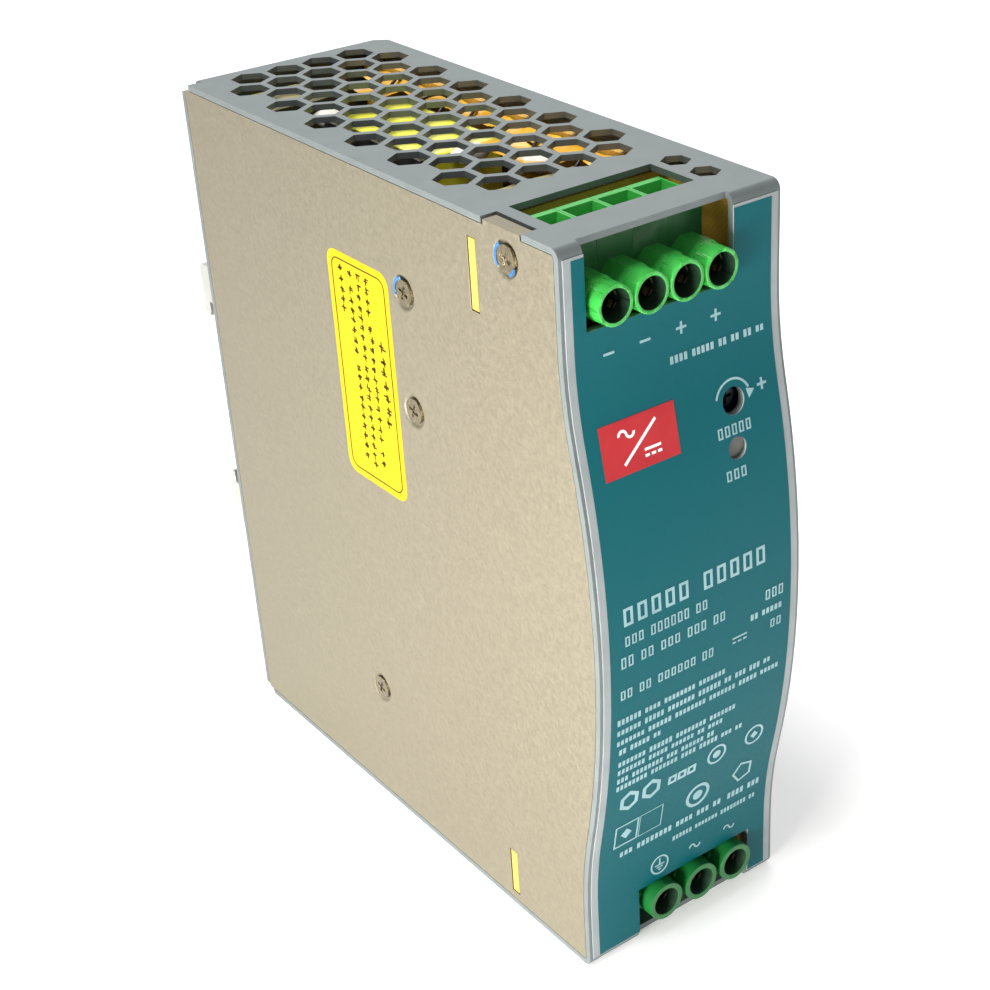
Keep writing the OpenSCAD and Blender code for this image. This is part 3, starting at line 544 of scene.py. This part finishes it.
def softened(node, width, body="case", flatten=True):
    """A copy of a CAD node with its sharp edges broken, which stands for the node."""
    piece = copy_of(node, node + "_shell", flatten)
    modify(piece, "BEVEL", width=width, segments=2, limit_method="ANGLE",
           angle_limit=math.radians(35), use_clamp_overlap=True, harden_normals=False)
    activate(piece)
    bpy.ops.object.shade_smooth_by_angle(angle=math.radians(30))
    modify(piece, "WEIGHTED_NORMAL", keep_sharp=True, weight=100)
    slots = {entry["node"]: entry["material_slot"] for entry in frame["record"]["subparts"]}
    dress(piece, slots[node], body)
    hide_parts(node)
    return piece


# ---------------------------------------------------------------- flat print

def flat_bar(x, z, width, height, turn=0.0):
    """A flat bar in the print plane; sizes in millimetres."""
    bpy.ops.mesh.primitive_plane_add(size=1, location=(x * MM, PRINT_Y, z * MM),
                                     rotation=(math.pi / 2, 0, 0))
    bar = bpy.context.object
    bar.scale = (width * MM, height * MM, 1)
    bar.rotation_euler = Euler((math.pi / 2, turn, 0))
    return settle(bar)


def flat_ring(x, z, radius, stroke, sides=40, turn=0.0, arc=None):
    """A flat ring, an open arc or an outlined polygon in the print plane; sizes in millimetres."""
    bpy.ops.mesh.primitive_circle_add(vertices=sides, radius=radius * MM, fill_type="NGON",
                                      location=(x * MM, PRINT_Y, z * MM), rotation=(math.pi / 2, 0, 0))
    ring = bpy.context.object
    ring.rotation_euler = Euler((math.pi / 2, turn, 0))
    outline(stroke * MM)
    settle(ring)
    if arc:
        drop_faces(ring, lambda face: not arc[0] <= math.degrees(math.atan2(
            mm(face.calc_center_median().z) - z, mm(face.calc_center_median().x) - x)) % 360 <= arc[1])
    return ring


def flat_disc(x, z, radius, sides=32, turn=0.0):
    """A filled disc or polygon in the print plane; sizes in millimetres."""
    bpy.ops.mesh.primitive_circle_add(vertices=sides, radius=radius * MM, fill_type="NGON",
                                      location=(x * MM, PRINT_Y, z * MM), rotation=(math.pi / 2, 0, 0))
    disc = bpy.context.object
    disc.rotation_euler = Euler((math.pi / 2, turn, 0))
    return settle(disc)


def filler_row(x0, x1, z, height, dice):
    """A row of small blocks in word-like groups, in place of a line of lettering."""
    step = height * 0.72
    bars = []
    x = x0
    while x < x1 - 2 * step:
        count = min(dice.randint(2, 8), int((x1 - x) / step))
        word = flat_bar(x + step / 2, z, step * 0.66, height * dice.uniform(0.8, 1.0))
        if height > 1.5:
            outline(0.13 * height * MM)
        modify(word, "ARRAY", count=count, use_relative_offset=False, use_constant_offset=True,
               constant_offset_displace=(step * MM, 0, 0))
        bars.append(word)
        x += (count + 0.8) * step
    return bars


def print_on(pieces, name, finish, target, lift=0.05):
    """Joins flat shapes, lays them on a curved piece and gives the ink its thickness."""
    ink = fuse(pieces, name)
    modify(ink, "SHRINKWRAP", target=target, wrap_method="PROJECT", use_project_y=True,
           use_negative_direction=True, use_positive_direction=True, offset=0.0)
    activate(ink)
    bpy.ops.object.mode_set(mode="EDIT")
    bpy.ops.mesh.select_all(action="SELECT")
    bpy.ops.mesh.normals_make_consistent(inside=False)
    bpy.ops.transform.translate(value=(0, -lift * MM, 0))
    bpy.ops.object.mode_set(mode="OBJECT")
    modify(ink, "SOLIDIFY", thickness=INK, offset=0)
    dress(ink, finish)


# ---------------------------------------------------------------- pieces

class SUPPLY_OT_finishes(bpy.types.Operator):
    """Make the finishes and give them to the frame's nodes"""
    bl_idname = "supply.finishes"
    bl_label = "Finishes"

    def execute(self, context):
        FINISH.update(make_materials())
        for entry in frame["record"]["subparts"]:
            node = frame["nodes"][entry["node"]]
            node.data.materials.clear()
            node.data.materials.append(FINISH[entry["material_slot"]])
        frame["nodes"]["trimmer_rotor"].data.materials[0] = FINISH["trimmer_dark"]
        return {"FINISHED"}


class SUPPLY_OT_sheets(bpy.types.Operator):
    """Break the edges of the case, the cover and the rail clip"""
    bl_idname = "supply.sheets"
    bl_label = "Sheet parts"

    def execute(self, context):
        width = settings("sheet").edge_round
        softened("case_body", width)
        softened("side_cover", width)
        softened("rail_bracket", 1.5 * width)
        softened("rail_latch", 1.5 * width, "latch")
        self.spring()
        return {"FINISHED"}

    def spring(self):
        """The latch spring, which stands on the case's tab; here it rides with the case and keeps its shape.
        """
        coil = copy_of("latch_spring", "latch_spring_coil", flatten=False)
        activate(coil)
        bpy.ops.object.shade_smooth_by_angle(angle=math.radians(40))
        dress(coil, "spring_steel")
        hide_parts("latch_spring")
        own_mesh(coil)


class SUPPLY_OT_terminals(bpy.types.Operator):
    """Round the edges of the moulded terminals and set the lips in their wire entries"""
    bl_idname = "supply.terminals"
    bl_label = "Terminals"

    def execute(self, context):
        bores = {mount["name"].replace("entry", "terminal"): mount for mount in frame["record"]["mounts"]
                 if mount["kind"] == "bore"}
        for node, bore in bores.items():
            # The bored faces stay in triangles: made whole, one of them can close the wire entry
            piece = softened(node, 0.16 * MM, flatten=False)
            self.paint_bore_shade(piece, Vector(bore["pos_m"]), bore["dims"]["r_mm"] * MM)
            self.cage(node, Vector(bore["pos_m"]), bore["dims"]["length_mm"] * MM)
        return {"FINISHED"}

    def paint_bore_shade(self, piece, middle, radius):
        """Gives the inside of the wire entry, and the housing's recessed face, darker materials: painted
        shade.
        """
        piece.data.materials.append(FINISH["terminal_bore_painted_shade"])
        piece.data.materials.append(FINISH["terminal_face_painted_shade"])
        mouth = min(vertex.co.y for vertex in piece.data.vertices)
        for face in piece.data.polygons:
            away = Vector((face.center.x - middle.x, face.center.z - middle.z))
            inward = away.x * face.normal.x + away.y * face.normal.z < -0.3 * away.length
            # Faces inside the bore: painted shade
            if away.length < 1.02 * radius and inward and face.center.y > mouth + 0.3 * MM:
                face.material_index = 1
            # The recessed front face above the tubes: painted shade
            elif face.normal.y < -0.9 and mouth + 3 * MM < face.center.y < mouth + 12 * MM:
                face.material_index = 2

    def cage(self, node, middle, length):
        """Four serrated metal lips that stay with the housing in its wire entry."""
        jaws = []
        front = middle.y - length / 2
        for turn in (-35, 25, 155, 205):
            bpy.ops.mesh.primitive_cube_add(size=1)
            jaw = bpy.context.object
            jaw.scale = (0.25 * MM, 4.6 * MM, 1.5 * MM)
            settle(jaw)
            activate(jaw)
            bpy.ops.object.mode_set(mode="EDIT")
            bpy.ops.mesh.select_all(action="SELECT")
            bpy.ops.mesh.subdivide(number_cuts=5)
            bpy.ops.object.mode_set(mode="OBJECT")
            for vertex in jaw.data.vertices:
                step = round(mm(vertex.co.y) / 0.77) % 2
                vertex.co.x -= 0.3 * MM * step
                vertex.co.z *= 1.0 - 0.35 * step
            modify(jaw, "BEVEL", width=0.06 * MM, segments=1)
            angle = math.radians(turn)
            jaw.rotation_euler = (0, -angle, 0)
            jaw.location = (middle.x + LIP_RADIUS * math.cos(angle), front + 4.4 * MM,
                            middle.z + LIP_RADIUS * math.sin(angle))
            jaws.append(settle(jaw))
        dress(fuse(jaws, node + "_jaws"), "screw_steel")


class SUPPLY_OT_front_print(bpy.types.Operator):
    """Print the teal field and its marks on the front"""
    bl_idname = "supply.front_print"
    bl_label = "Front print"

    def profile(self):
        """The front film's outer face from the side: its heights and their places along Y."""
        film = frame["nodes"]["front_label"].data
        edge = {}
        for face in film.polygons:
            if face.normal.y < -0.5:
                for vertex in (film.vertices[k] for k in face.vertices):
                    if vertex.co.x < LABEL_LOW.x + 0.01 * MM:
                        edge[round(mm(vertex.co.z), 2)] = vertex.co.y
        return sorted(edge), [edge[height] for height in sorted(edge)]

    def cutter(self, low, high):
        """A block that cuts the film where the case is open."""
        bpy.ops.mesh.primitive_cube_add(size=1, location=[(a + b) / 2 for a, b in zip(low, high)])
        block = bpy.context.object
        block.scale = [b - a for a, b in zip(low, high)]
        return settle(block)

    def field(self):
        """The teal field: level strips of film on the front's curve, with its holes and terminal cut-outs."""
        border = settings("print").border
        left, right = LABEL_LOW.x + border, LABEL_HIGH.x - border
        base, top = LABEL_LOW.z + 0.2 * MM, LABEL_HIGH.z - 0.4 * MM
        bpy.ops.mesh.primitive_plane_add(size=1, location=((left + right) / 2, 0, (base + top) / 2),
                                         rotation=(math.pi / 2, 0, 0))
        teal = bpy.context.object
        teal.scale = (right - left, top - base, 1)
        settle(teal)
        bpy.ops.object.mode_set(mode="EDIT")
        for k in range(1, int(mm(top)) + 1):
            bpy.ops.mesh.select_all(action="SELECT")
            bpy.ops.mesh.bisect(plane_co=(0, 0, k * MM), plane_no=(0, 0, 1))
        bpy.ops.object.mode_set(mode="OBJECT")
        modify(teal, "SOLIDIFY", thickness=0.02 * MM, offset=0)
        cutters = []
        for row in ("output_terminal_", "input_terminal_"):
            boxes = [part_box(node) for node in frame["nodes"] if node.startswith(row)]
            low = [min(box[0][k] for box in boxes) for k in range(3)]
            high = [max(box[1][k] for box in boxes) for k in range(3)]
            upper = row.startswith("output")
            margin = 0.65 * MM
            mouth = MOUTHS[row]
            cutters.append(self.cutter(
                (low[0] - margin, -1 * MM, mouth - 0.4 * MM if upper else -1 * MM),
                (high[0] + margin, 1 * MM, TOP + 1 * MM if upper else mouth + 0.3 * MM)))
        for node, radius in (("trimmer_rotor", ADJUST_RADIUS), ("light_pipe", None)):
            low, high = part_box(node)
            middle = (low + high) / 2
            bpy.ops.mesh.primitive_cylinder_add(
                vertices=64, radius=radius or (high.x - low.x) / 2 + 0.05 * MM, depth=4 * MM,
                location=(middle.x, 0, middle.z), rotation=(math.pi / 2, 0, 0))
            cutters.append(settle(bpy.context.object))
        for block in cutters:
            modify(teal, "BOOLEAN", object=block, operation="DIFFERENCE", solver="EXACT")
            bpy.data.objects.remove(block)
        drop_faces(teal, lambda face: face.normal.y > -0.5)
        heights, places = self.profile()
        for vertex in teal.data.vertices:
            vertex.co.y = between(heights, places, mm(vertex.co.z)) - 0.04 * MM
        activate(teal)
        bpy.ops.object.shade_smooth()
        dress(teal, "teal")
        return teal

    def marks(self, dice):
        """Plain symbols and filler rows in the places of the print."""
        shapes = []
        for x in (-12.3, -5.8):
            shapes.append(flat_bar(x, 108.1, 1.9, 0.4))
        for x in (0.8, 7.3):
            shapes += [flat_bar(x, 108.1, 1.9, 0.4), flat_bar(x, 108.1, 0.4, 1.9)]
        # Turning arrow over the trimmer, with a plus at its end
        shapes.append(flat_ring(9.2, 94.4, 3.5, 0.35, 64, arc=(25, 165)))
        shapes.append(flat_disc(12.45, 94.9, 0.95, 3, math.radians(75)))
        shapes += [flat_bar(14.9, 95.4, 1.8, 0.4), flat_bar(14.9, 95.4, 0.4, 1.8)]
        # Earth sign and two alternating-current signs over the input terminals
        shapes.append(flat_ring(-5.2, 13.8, 1.9, 0.3))
        shapes.append(flat_bar(-5.2, 14.5, 0.3, 1.2))
        for k, width in enumerate((2.0, 1.3, 0.6)):
            shapes.append(flat_bar(-5.2, 13.8 - 0.5 * k, width, 0.25))
        for x in (2.4, 10.0):
            shapes.append(flat_ring(x - 0.55, 13.6, 0.7, 0.3, 24, arc=(0, 180)))
            shapes.append(flat_ring(x + 0.55, 13.8, 0.7, 0.3, 24, arc=(180, 360)))
        # Direct-current sign in the output row
        shapes.append(flat_bar(7.4, 55.8, 3.0, 0.3))
        shapes += [flat_bar(7.4 + 1.1 * k, 55.0, 0.7, 0.3) for k in (-1, 0, 1)]
        rows = (
            (-1.7, 17.3, 103.7, 1.2), (5.2, 13.0, 90.3, 1.9), (5.9, 13.3, 83.5, 2.0),
            (-15.7, 15.4, 68.6, 3.7), (-15.4, 2.2, 64.5, 1.8), (-16.3, 5.5, 61.0, 1.9),
            (12.5, 17.2, 61.0, 1.9), (9.5, 17.0, 58.1, 1.2), (-16.5, 2.5, 55.3, 1.8), (13.7, 17.1, 55.3, 1.8),
            (-17.0, 5.0, 50.4, 1.1), (-17.0, 15.0, 48.4, 1.1), (-17.0, 17.5, 46.4, 1.1),
            (-16.5, -6.0, 44.5, 1.1), (-16.5, 8.5, 42.0, 1.1), (-16.5, 6.5, 40.3, 1.1),
            (-16.5, 3.5, 38.5, 1.1), (-16.5, 10.0, 36.9, 1.1), (-14.0, 8.0, 20.8, 1.3),
            (9.0, 16.5, 20.8, 1.3), (-2.7, 16.0, 17.9, 1.0))
        for row in rows:
            shapes += filler_row(*row, dice)
        # Plain rings, hexagons, boxes and a pentagon where approval marks would stand
        for x, radius, stroke, sides in ((-13.4, 2.1, 0.7, 6), (-8.9, 2.1, 0.7, 6),
                                         (4.8, 2.0, 0.4, 40), (12.9, 2.0, 0.4, 40)):
            shapes.append(flat_ring(x, 33.0, radius, stroke, sides))
        shapes += [flat_disc(4.8, 33.0, 0.8), flat_disc(12.9, 33.0, 0.8, 4)]
        for x in (-4.5, -2.5, -0.5):
            shapes.append(flat_ring(x, 32.6, 1.25, 0.5, 4, math.radians(45)))
        shapes.append(flat_ring(-13.0, 25.3, 3.4, 0.3, 4, math.radians(45)))
        shapes.append(flat_ring(-8.0, 25.3, 3.4, 0.15, 4, math.radians(45)))
        shapes.append(flat_disc(-13.0, 25.3, 1.1, 4))
        shapes.append(flat_ring(2.0, 25.3, 2.5, 0.6))
        shapes.append(flat_disc(2.0, 25.3, 1.0))
        shapes.append(flat_ring(11.8, 25.3, 2.3, 0.4, 5, math.radians(-90)))
        return shapes

    def badge(self):
        """A plain red badge with the sign of a converter: alternating over direct current."""
        red = [flat_bar(-8.7, 94.0, 13.8, 8.0)]
        white = [flat_bar(-8.7, 94.0, 8.2, 0.45, math.radians(-38))]
        white.append(flat_ring(-11.6, 95.7, 0.9, 0.4, 24, arc=(0, 180)))
        white.append(flat_ring(-10.2, 95.9, 0.9, 0.4, 24, arc=(180, 360)))
        white.append(flat_bar(-6.6, 92.6, 3.0, 0.4))
        white += [flat_bar(-6.6 + 1.15 * k, 91.7, 0.75, 0.4) for k in (-1, 0, 1)]
        return red, white

    def execute(self, context):
        dice = random.Random(settings("print").glyph_seed)
        teal = self.field()
        print_on(self.marks(dice), "front_marks", "ink_light", teal)
        red, white = self.badge()
        print_on(red, "badge_ground", "badge_red", teal)
        print_on(white, "badge_sign", "badge_white", teal, 0.09)
        return {"FINISHED"}


class SUPPLY_OT_side_print(bpy.types.Operator):
    """Print the border and the filler blocks on the side label"""
    bl_idname = "supply.side_print"
    bl_label = "Side print"

    def execute(self, context):
        dice = random.Random(settings("print").glyph_seed + 1)
        low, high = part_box("side_label")
        middle = (low + high) / 2
        width, height = mm(high.y - low.y), mm(high.z - low.z)
        shapes = []
        if settings("print").rounded:
            border = flat_bar(0, 0, width - 2.4, height - 2.4)
            activate(border)
            bpy.ops.object.mode_set(mode="EDIT")
            bpy.ops.mesh.select_all(action="SELECT")
            bpy.ops.mesh.bevel(offset=1.8 * MM, segments=6, affect="VERTICES")
            bpy.ops.mesh.select_all(action="SELECT")
            bpy.ops.mesh.inset(thickness=0.22 * MM)
            bpy.ops.mesh.delete(type="FACE")
            bpy.ops.object.mode_set(mode="OBJECT")
            shapes.append(border)
        # Columns from the front of the label backwards: place, upper end, lower end, size of a block
        columns = ((0.31, 0.17, -0.19, 1.7), (0.14, 0.43, -0.42, 1.35), (0.0, 0.43, -0.42, 1.35),
                   (-0.14, 0.43, -0.40, 1.35), (-0.28, 0.43, 0.22, 1.35))
        for place, upper, lower, size in columns:
            z = upper * height
            while z > lower * height:
                cell = place * width
                for k in range(4):
                    across = k % 2
                    shapes.append(flat_bar(
                        cell + dice.uniform(-0.22, 0.22) * size, z + dice.uniform(-0.25, 0.25) * size,
                        size * (0.8 if across else 0.17), size * (0.17 if across else 0.75)))
                z -= size * (1.3 if dice.random() < 0.9 else 2.2)
        ink = fuse(shapes, "side_marks")
        ink.rotation_euler = (0, 0, -math.pi / 2)
        settle(ink)
        top = max(vertex.co.x for vertex in ink.data.vertices)
        ink.location = (low.x - top - 0.03 * MM, middle.y, middle.z)
        settle(ink)
        activate(ink)
        bpy.ops.object.mode_set(mode="EDIT")
        bpy.ops.mesh.select_all(action="SELECT")
        bpy.ops.mesh.normals_make_consistent(inside=False)
        bpy.ops.object.mode_set(mode="OBJECT")
        modify(ink, "SOLIDIFY", thickness=INK, offset=0)
        dress(ink, "ink_dark")
        return {"FINISHED"}


class SUPPLY_OT_power_parts(bpy.types.Operator):
    """Wrap, glue and wire the power parts under the vents"""
    bl_idname = "supply.power_parts"
    bl_label = "Power parts"

    def band(self, name, low, high, finish):
        """A band of tape around a block, open along X."""
        bpy.ops.mesh.primitive_cube_add(size=1, location=(low + high) / 2)
        tape = bpy.context.object
        tape.scale = high - low
        settle(tape)
        activate(tape)
        drop_faces(tape, lambda face: abs(face.normal.x) > 0.9)
        modify(tape, "BEVEL", width=0.9 * MM, segments=4, limit_method="ANGLE")
        modify(tape, "SOLIDIFY", thickness=0.25 * MM, offset=1)
        tape.name = name
        activate(tape)
        bpy.ops.object.shade_smooth_by_angle(angle=math.radians(35))
        dress(tape, finish)

    def film(self, name, low, high, level, finish, wave=0.25):
        """A thin, slightly wavy film or card that lies level; corners (x, y) and level in millimetres."""
        bpy.ops.mesh.primitive_grid_add(x_subdivisions=12, y_subdivisions=40, size=1)
        sheet = bpy.context.object
        sheet.scale = ((high[0] - low[0]) * MM, (high[1] - low[1]) * MM, 1)
        sheet.location = ((low[0] + high[0]) / 2 * MM, (low[1] + high[1]) / 2 * MM, level * MM)
        settle(sheet)
        for vertex in sheet.data.vertices:
            vertex.co.z += wave * MM * math.sin(mm(vertex.co.y) * 0.9) * math.cos(mm(vertex.co.x) * 0.7)
        modify(sheet, "SOLIDIFY", thickness=0.12 * MM, offset=0)
        modify(sheet, "BEVEL", width=0.04 * MM, segments=1, limit_method="ANGLE")
        sheet.name = name
        activate(sheet)
        bpy.ops.object.shade_smooth_by_angle(angle=math.radians(35))
        dress(sheet, finish)

    def bead(self, name, middle, size):
        """A flattened, lumpy bead of silicone; its middle and its half sizes in millimetres."""
        bpy.ops.mesh.primitive_ico_sphere_add(subdivisions=4, radius=1)
        bead = bpy.context.object
        for vertex in bead.data.vertices:
            swell = 1 + 0.12 * math.sin(3 * vertex.co.x + 1) * math.cos(4 * vertex.co.y)
            vertex.co = Vector([value * swell * half * MM for value, half in zip(vertex.co, size)])
        bead.location = Vector(middle) * MM
        settle(bead)
        bead.name = name
        activate(bead)
        bpy.ops.object.shade_smooth()
        dress(bead, "silicone")

    def wire(self, name, points, radius, finish):
        """A sleeved wire along points given in millimetres."""
        line = bpy.data.curves.new(name, "CURVE")
        line.dimensions = "3D"
        line.bevel_depth = radius * MM
        line.bevel_resolution = 3
        line.use_fill_caps = True
        spline = line.splines.new("BEZIER")
        spline.bezier_points.add(len(points) - 1)
        for knot, point in zip(spline.bezier_points, points):
            knot.co = Vector(point) * MM
            knot.handle_left_type = knot.handle_right_type = "AUTO"
        piece = bpy.data.objects.new(name, line)
        bpy.context.scene.collection.objects.link(piece)
        activate(piece)
        bpy.ops.object.convert(target="MESH")
        bpy.ops.object.shade_smooth()
        dress(bpy.context.object, finish)

    def execute(self, context):
        low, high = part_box("transformer_core")
        air = Vector((0, 0.05, 0.05)) * MM
        strip = Vector((0.8 * MM, 0, 0))
        self.band("core_tape", low - air + strip, high + air - strip, "yellow_tape")
        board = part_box("main_board")[0]
        x0, x1 = mm(high.x), mm(board.x)
        y0, y1, z = mm(low.y), mm(high.y), mm(high.z)
        level = mm(CASE_HIGH.z) - 2.9
        self.film("board_film", (x0 + 0.6, y0 - 31), (x1 - 0.4, y1 + 15), level, "amber_film")
        self.film("front_film_fold", (x0 - 6, y0 - 17), (x0 + 0.4, y0 - 1), level - 0.4, "amber_film")
        self.film("rear_film_fold", (x0 - 4, y1 + 1), (x0 + 0.4, y1 + 12), level - 0.4, "amber_film")
        self.film("rear_card", (x0 - 25, y1 + 8), (x0 - 9, y1 + 19), level - 0.6, "press_card", 0.1)
        self.film("front_card", (x0 - 15, y0 - 31), (x0 + 0.4, y0 - 18), level - 1.2, "press_card", 0.1)
        self.bead("silicone_bead_1", (x0 - 13.5, y1 + 0.5, z - 0.6), (3.2, 2.6, 1.6))
        self.bead("silicone_bead_2", (x0 - 7.5, y0 - 1.5, z - 0.4), (3.4, 2.2, 1.5))
        self.bead("silicone_bead_3", (x0 - 2.5, y0 - 13, z - 0.2), (2.4, 3.2, 1.4))
        for k, (y, slant) in enumerate(((y0 - 20, 3), (y0 - 9, 5), (y0 + 2, -3), (y0 + 9, 4), (y0 + 17, 3),
                                        (y0 + 24, -4), (y1 + 3, 3))):
            self.wire("transformer_lead_%d" % (k + 1),
                      ((x0 - 1, y, level - 0.6), (x0 + 1.4, y + 0.3 * slant, level + 0.75),
                       (x1 - 2.2, y + 0.8 * slant, level + 0.75), (x1 - 0.9, y + slant, level - 1.5)),
                      0.3, "wire_black")
        return {"FINISHED"}


class SUPPLY_OT_screws(bpy.types.Operator):
    """Break the edges of the side screws and dab the thread lock beside two of them"""
    bl_idname = "supply.screws"
    bl_label = "Side screws"

    def dab(self, name, middle, radius, start, end):
        """A thin crescent of dried thread lock on the rim of a screw's dish; the middle is (y, z)."""
        bpy.ops.mesh.primitive_circle_add(vertices=48, radius=radius, fill_type="NGON")
        dab = bpy.context.object
        outline(0.55 * MM)
        drop_faces(dab, lambda face: not start <= math.degrees(math.atan2(
            face.calc_center_median().y, face.calc_center_median().x)) % 360 <= end)
        dab.rotation_euler = (math.pi / 2, 0, -math.pi / 2)
        dab.location = (CASE_LOW.x - 0.02 * MM, middle[0], middle[1])
        settle(dab)
        modify(dab, "SOLIDIFY", thickness=0.06 * MM, offset=0)
        modify(dab, "BEVEL", width=0.02 * MM, segments=1)
        dab.name = name
        dress(dab, "thread_lock")

    def execute(self, context):
        for node in ("cover_screw", "heatsink_screws"):
            softened(node, 0.12 * MM)
        low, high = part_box("cover_screw")
        cover = ((low.y + high.y) / 2, (low.z + high.z) / 2)
        radius = (high.z - low.z) / 2 + 0.45 * MM
        self.dab("thread_lock_1", cover, radius, 120, 215)
        self.dab("thread_lock_2", cover, radius, 290, 340)
        low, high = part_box("heatsink_screws")
        self.dab("thread_lock_3", (-13.0 * MM, high.z - radius + 0.45 * MM), radius, 95, 200)
        return {"FINISHED"}


class SUPPLY_OT_stage(bpy.types.Operator):
    """Set the floor, the studio light and the camera"""
    bl_idname = "supply.stage"
    bl_label = "Stage"

    def light(self, name, size, energy, place, aim, colour=(1, 1, 1)):
        """A soft box that faces a point."""
        bpy.ops.object.light_add(type="AREA", location=place)
        lamp = bpy.context.object
        lamp.name = name
        lamp.data.shape = "RECTANGLE"
        lamp.data.size, lamp.data.size_y = size
        lamp.data.energy = energy
        lamp.data.color = colour
        lamp.visible_camera = False
        lamp.rotation_euler = (Vector(aim) - Vector(place)).to_track_quat("-Z", "Y").to_euler()

    def execute(self, context):
        stage = settings("stage")
        deselect()
        bpy.ops.mesh.primitive_plane_add(size=6, location=(0, 0, 0))
        floor = bpy.context.object
        floor.name = "studio_floor"
        floor.data.materials.append(FINISH["paper"])
        settle(floor)
        middle = (0, 0, TOP / 2)
        self.light("top_box", (0.4, 0.4), 9.0, (-0.30, 0.05, 0.95), middle)
        self.light("left_box", (0.14, 0.06), 2.0, (-0.30, -0.12, 0.05), (-0.02, -0.05, 0.02),
                   (1.0, 0.98, 0.93))
        self.light("back_box", (0.8, 0.5), 3.0, (0.5, 0.7, 0.8), middle)
        world = bpy.data.worlds.new("studio")
        world.use_nodes = True
        world.node_tree.nodes["Background"].inputs["Color"].default_value = linear("#ffffff")
        world.node_tree.nodes["Background"].inputs["Strength"].default_value = 0.5
        context.scene.world = world
        camera = bpy.data.objects.new("studio_camera", bpy.data.cameras.new("studio_camera"))
        context.scene.collection.objects.link(camera)
        turn = Euler((math.pi / 2 - stage.elevation, 0, -stage.azimuth)).to_matrix()
        camera.matrix_world = Matrix.Translation(stage.camera_place) @ (
            turn @ Matrix.Rotation(stage.roll, 3, "Z")).to_4x4()
        camera.data.lens = stage.lens
        camera.data.shift_x = stage.shift_x
        camera.data.shift_y = stage.shift_y
        camera.data.clip_start = 0.01
        context.scene.camera = camera
        context.scene.view_settings.view_transform = "Standard"
        return {"FINISHED"}


OPERATORS = (SUPPLY_OT_finishes, SUPPLY_OT_stage, SUPPLY_OT_sheets, SUPPLY_OT_terminals,
             SUPPLY_OT_front_print, SUPPLY_OT_side_print, SUPPLY_OT_power_parts, SUPPLY_OT_screws)


class SUPPLY_PT_panel(bpy.types.Panel):
    """Settings and steps of the power supply"""
    bl_idname = "SUPPLY_PT_panel"
    bl_label = "Power Supply"
    bl_space_type = "VIEW_3D"
    bl_region_type = "UI"
    bl_category = "Power Supply"

    def draw(self, context):
        for kind in ("sheet", "print", "stage"):
            box = self.layout.box()
            group = settings(kind)
            for name in group.__annotations__:
                box.prop(group, name)
        for step in OPERATORS:
            self.layout.operator(step.bl_idname)


CLASSES = SETTINGS + OPERATORS + (SUPPLY_PT_panel,)


def register():
    """Registers the classes and hangs the settings on the scene."""
    for entry in CLASSES:
        bpy.utils.register_class(entry)
    bpy.types.Scene.supply_sheet = PointerProperty(type=SheetSettings)
    bpy.types.Scene.supply_print = PointerProperty(type=PrintSettings)
    bpy.types.Scene.supply_stage = PointerProperty(type=StageSettings)


def unregister():
    """Removes the settings and the classes."""
    for kind in ("sheet", "print", "stage"):
        delattr(bpy.types.Scene, "supply_" + kind)
    for entry in reversed(CLASSES):
        bpy.utils.unregister_class(entry)


def main():
    register()
    for step in OPERATORS:
        group, action = step.bl_idname.split(".")
        getattr(getattr(bpy.ops, group), action)()


if __name__ == "__main__":
    main()
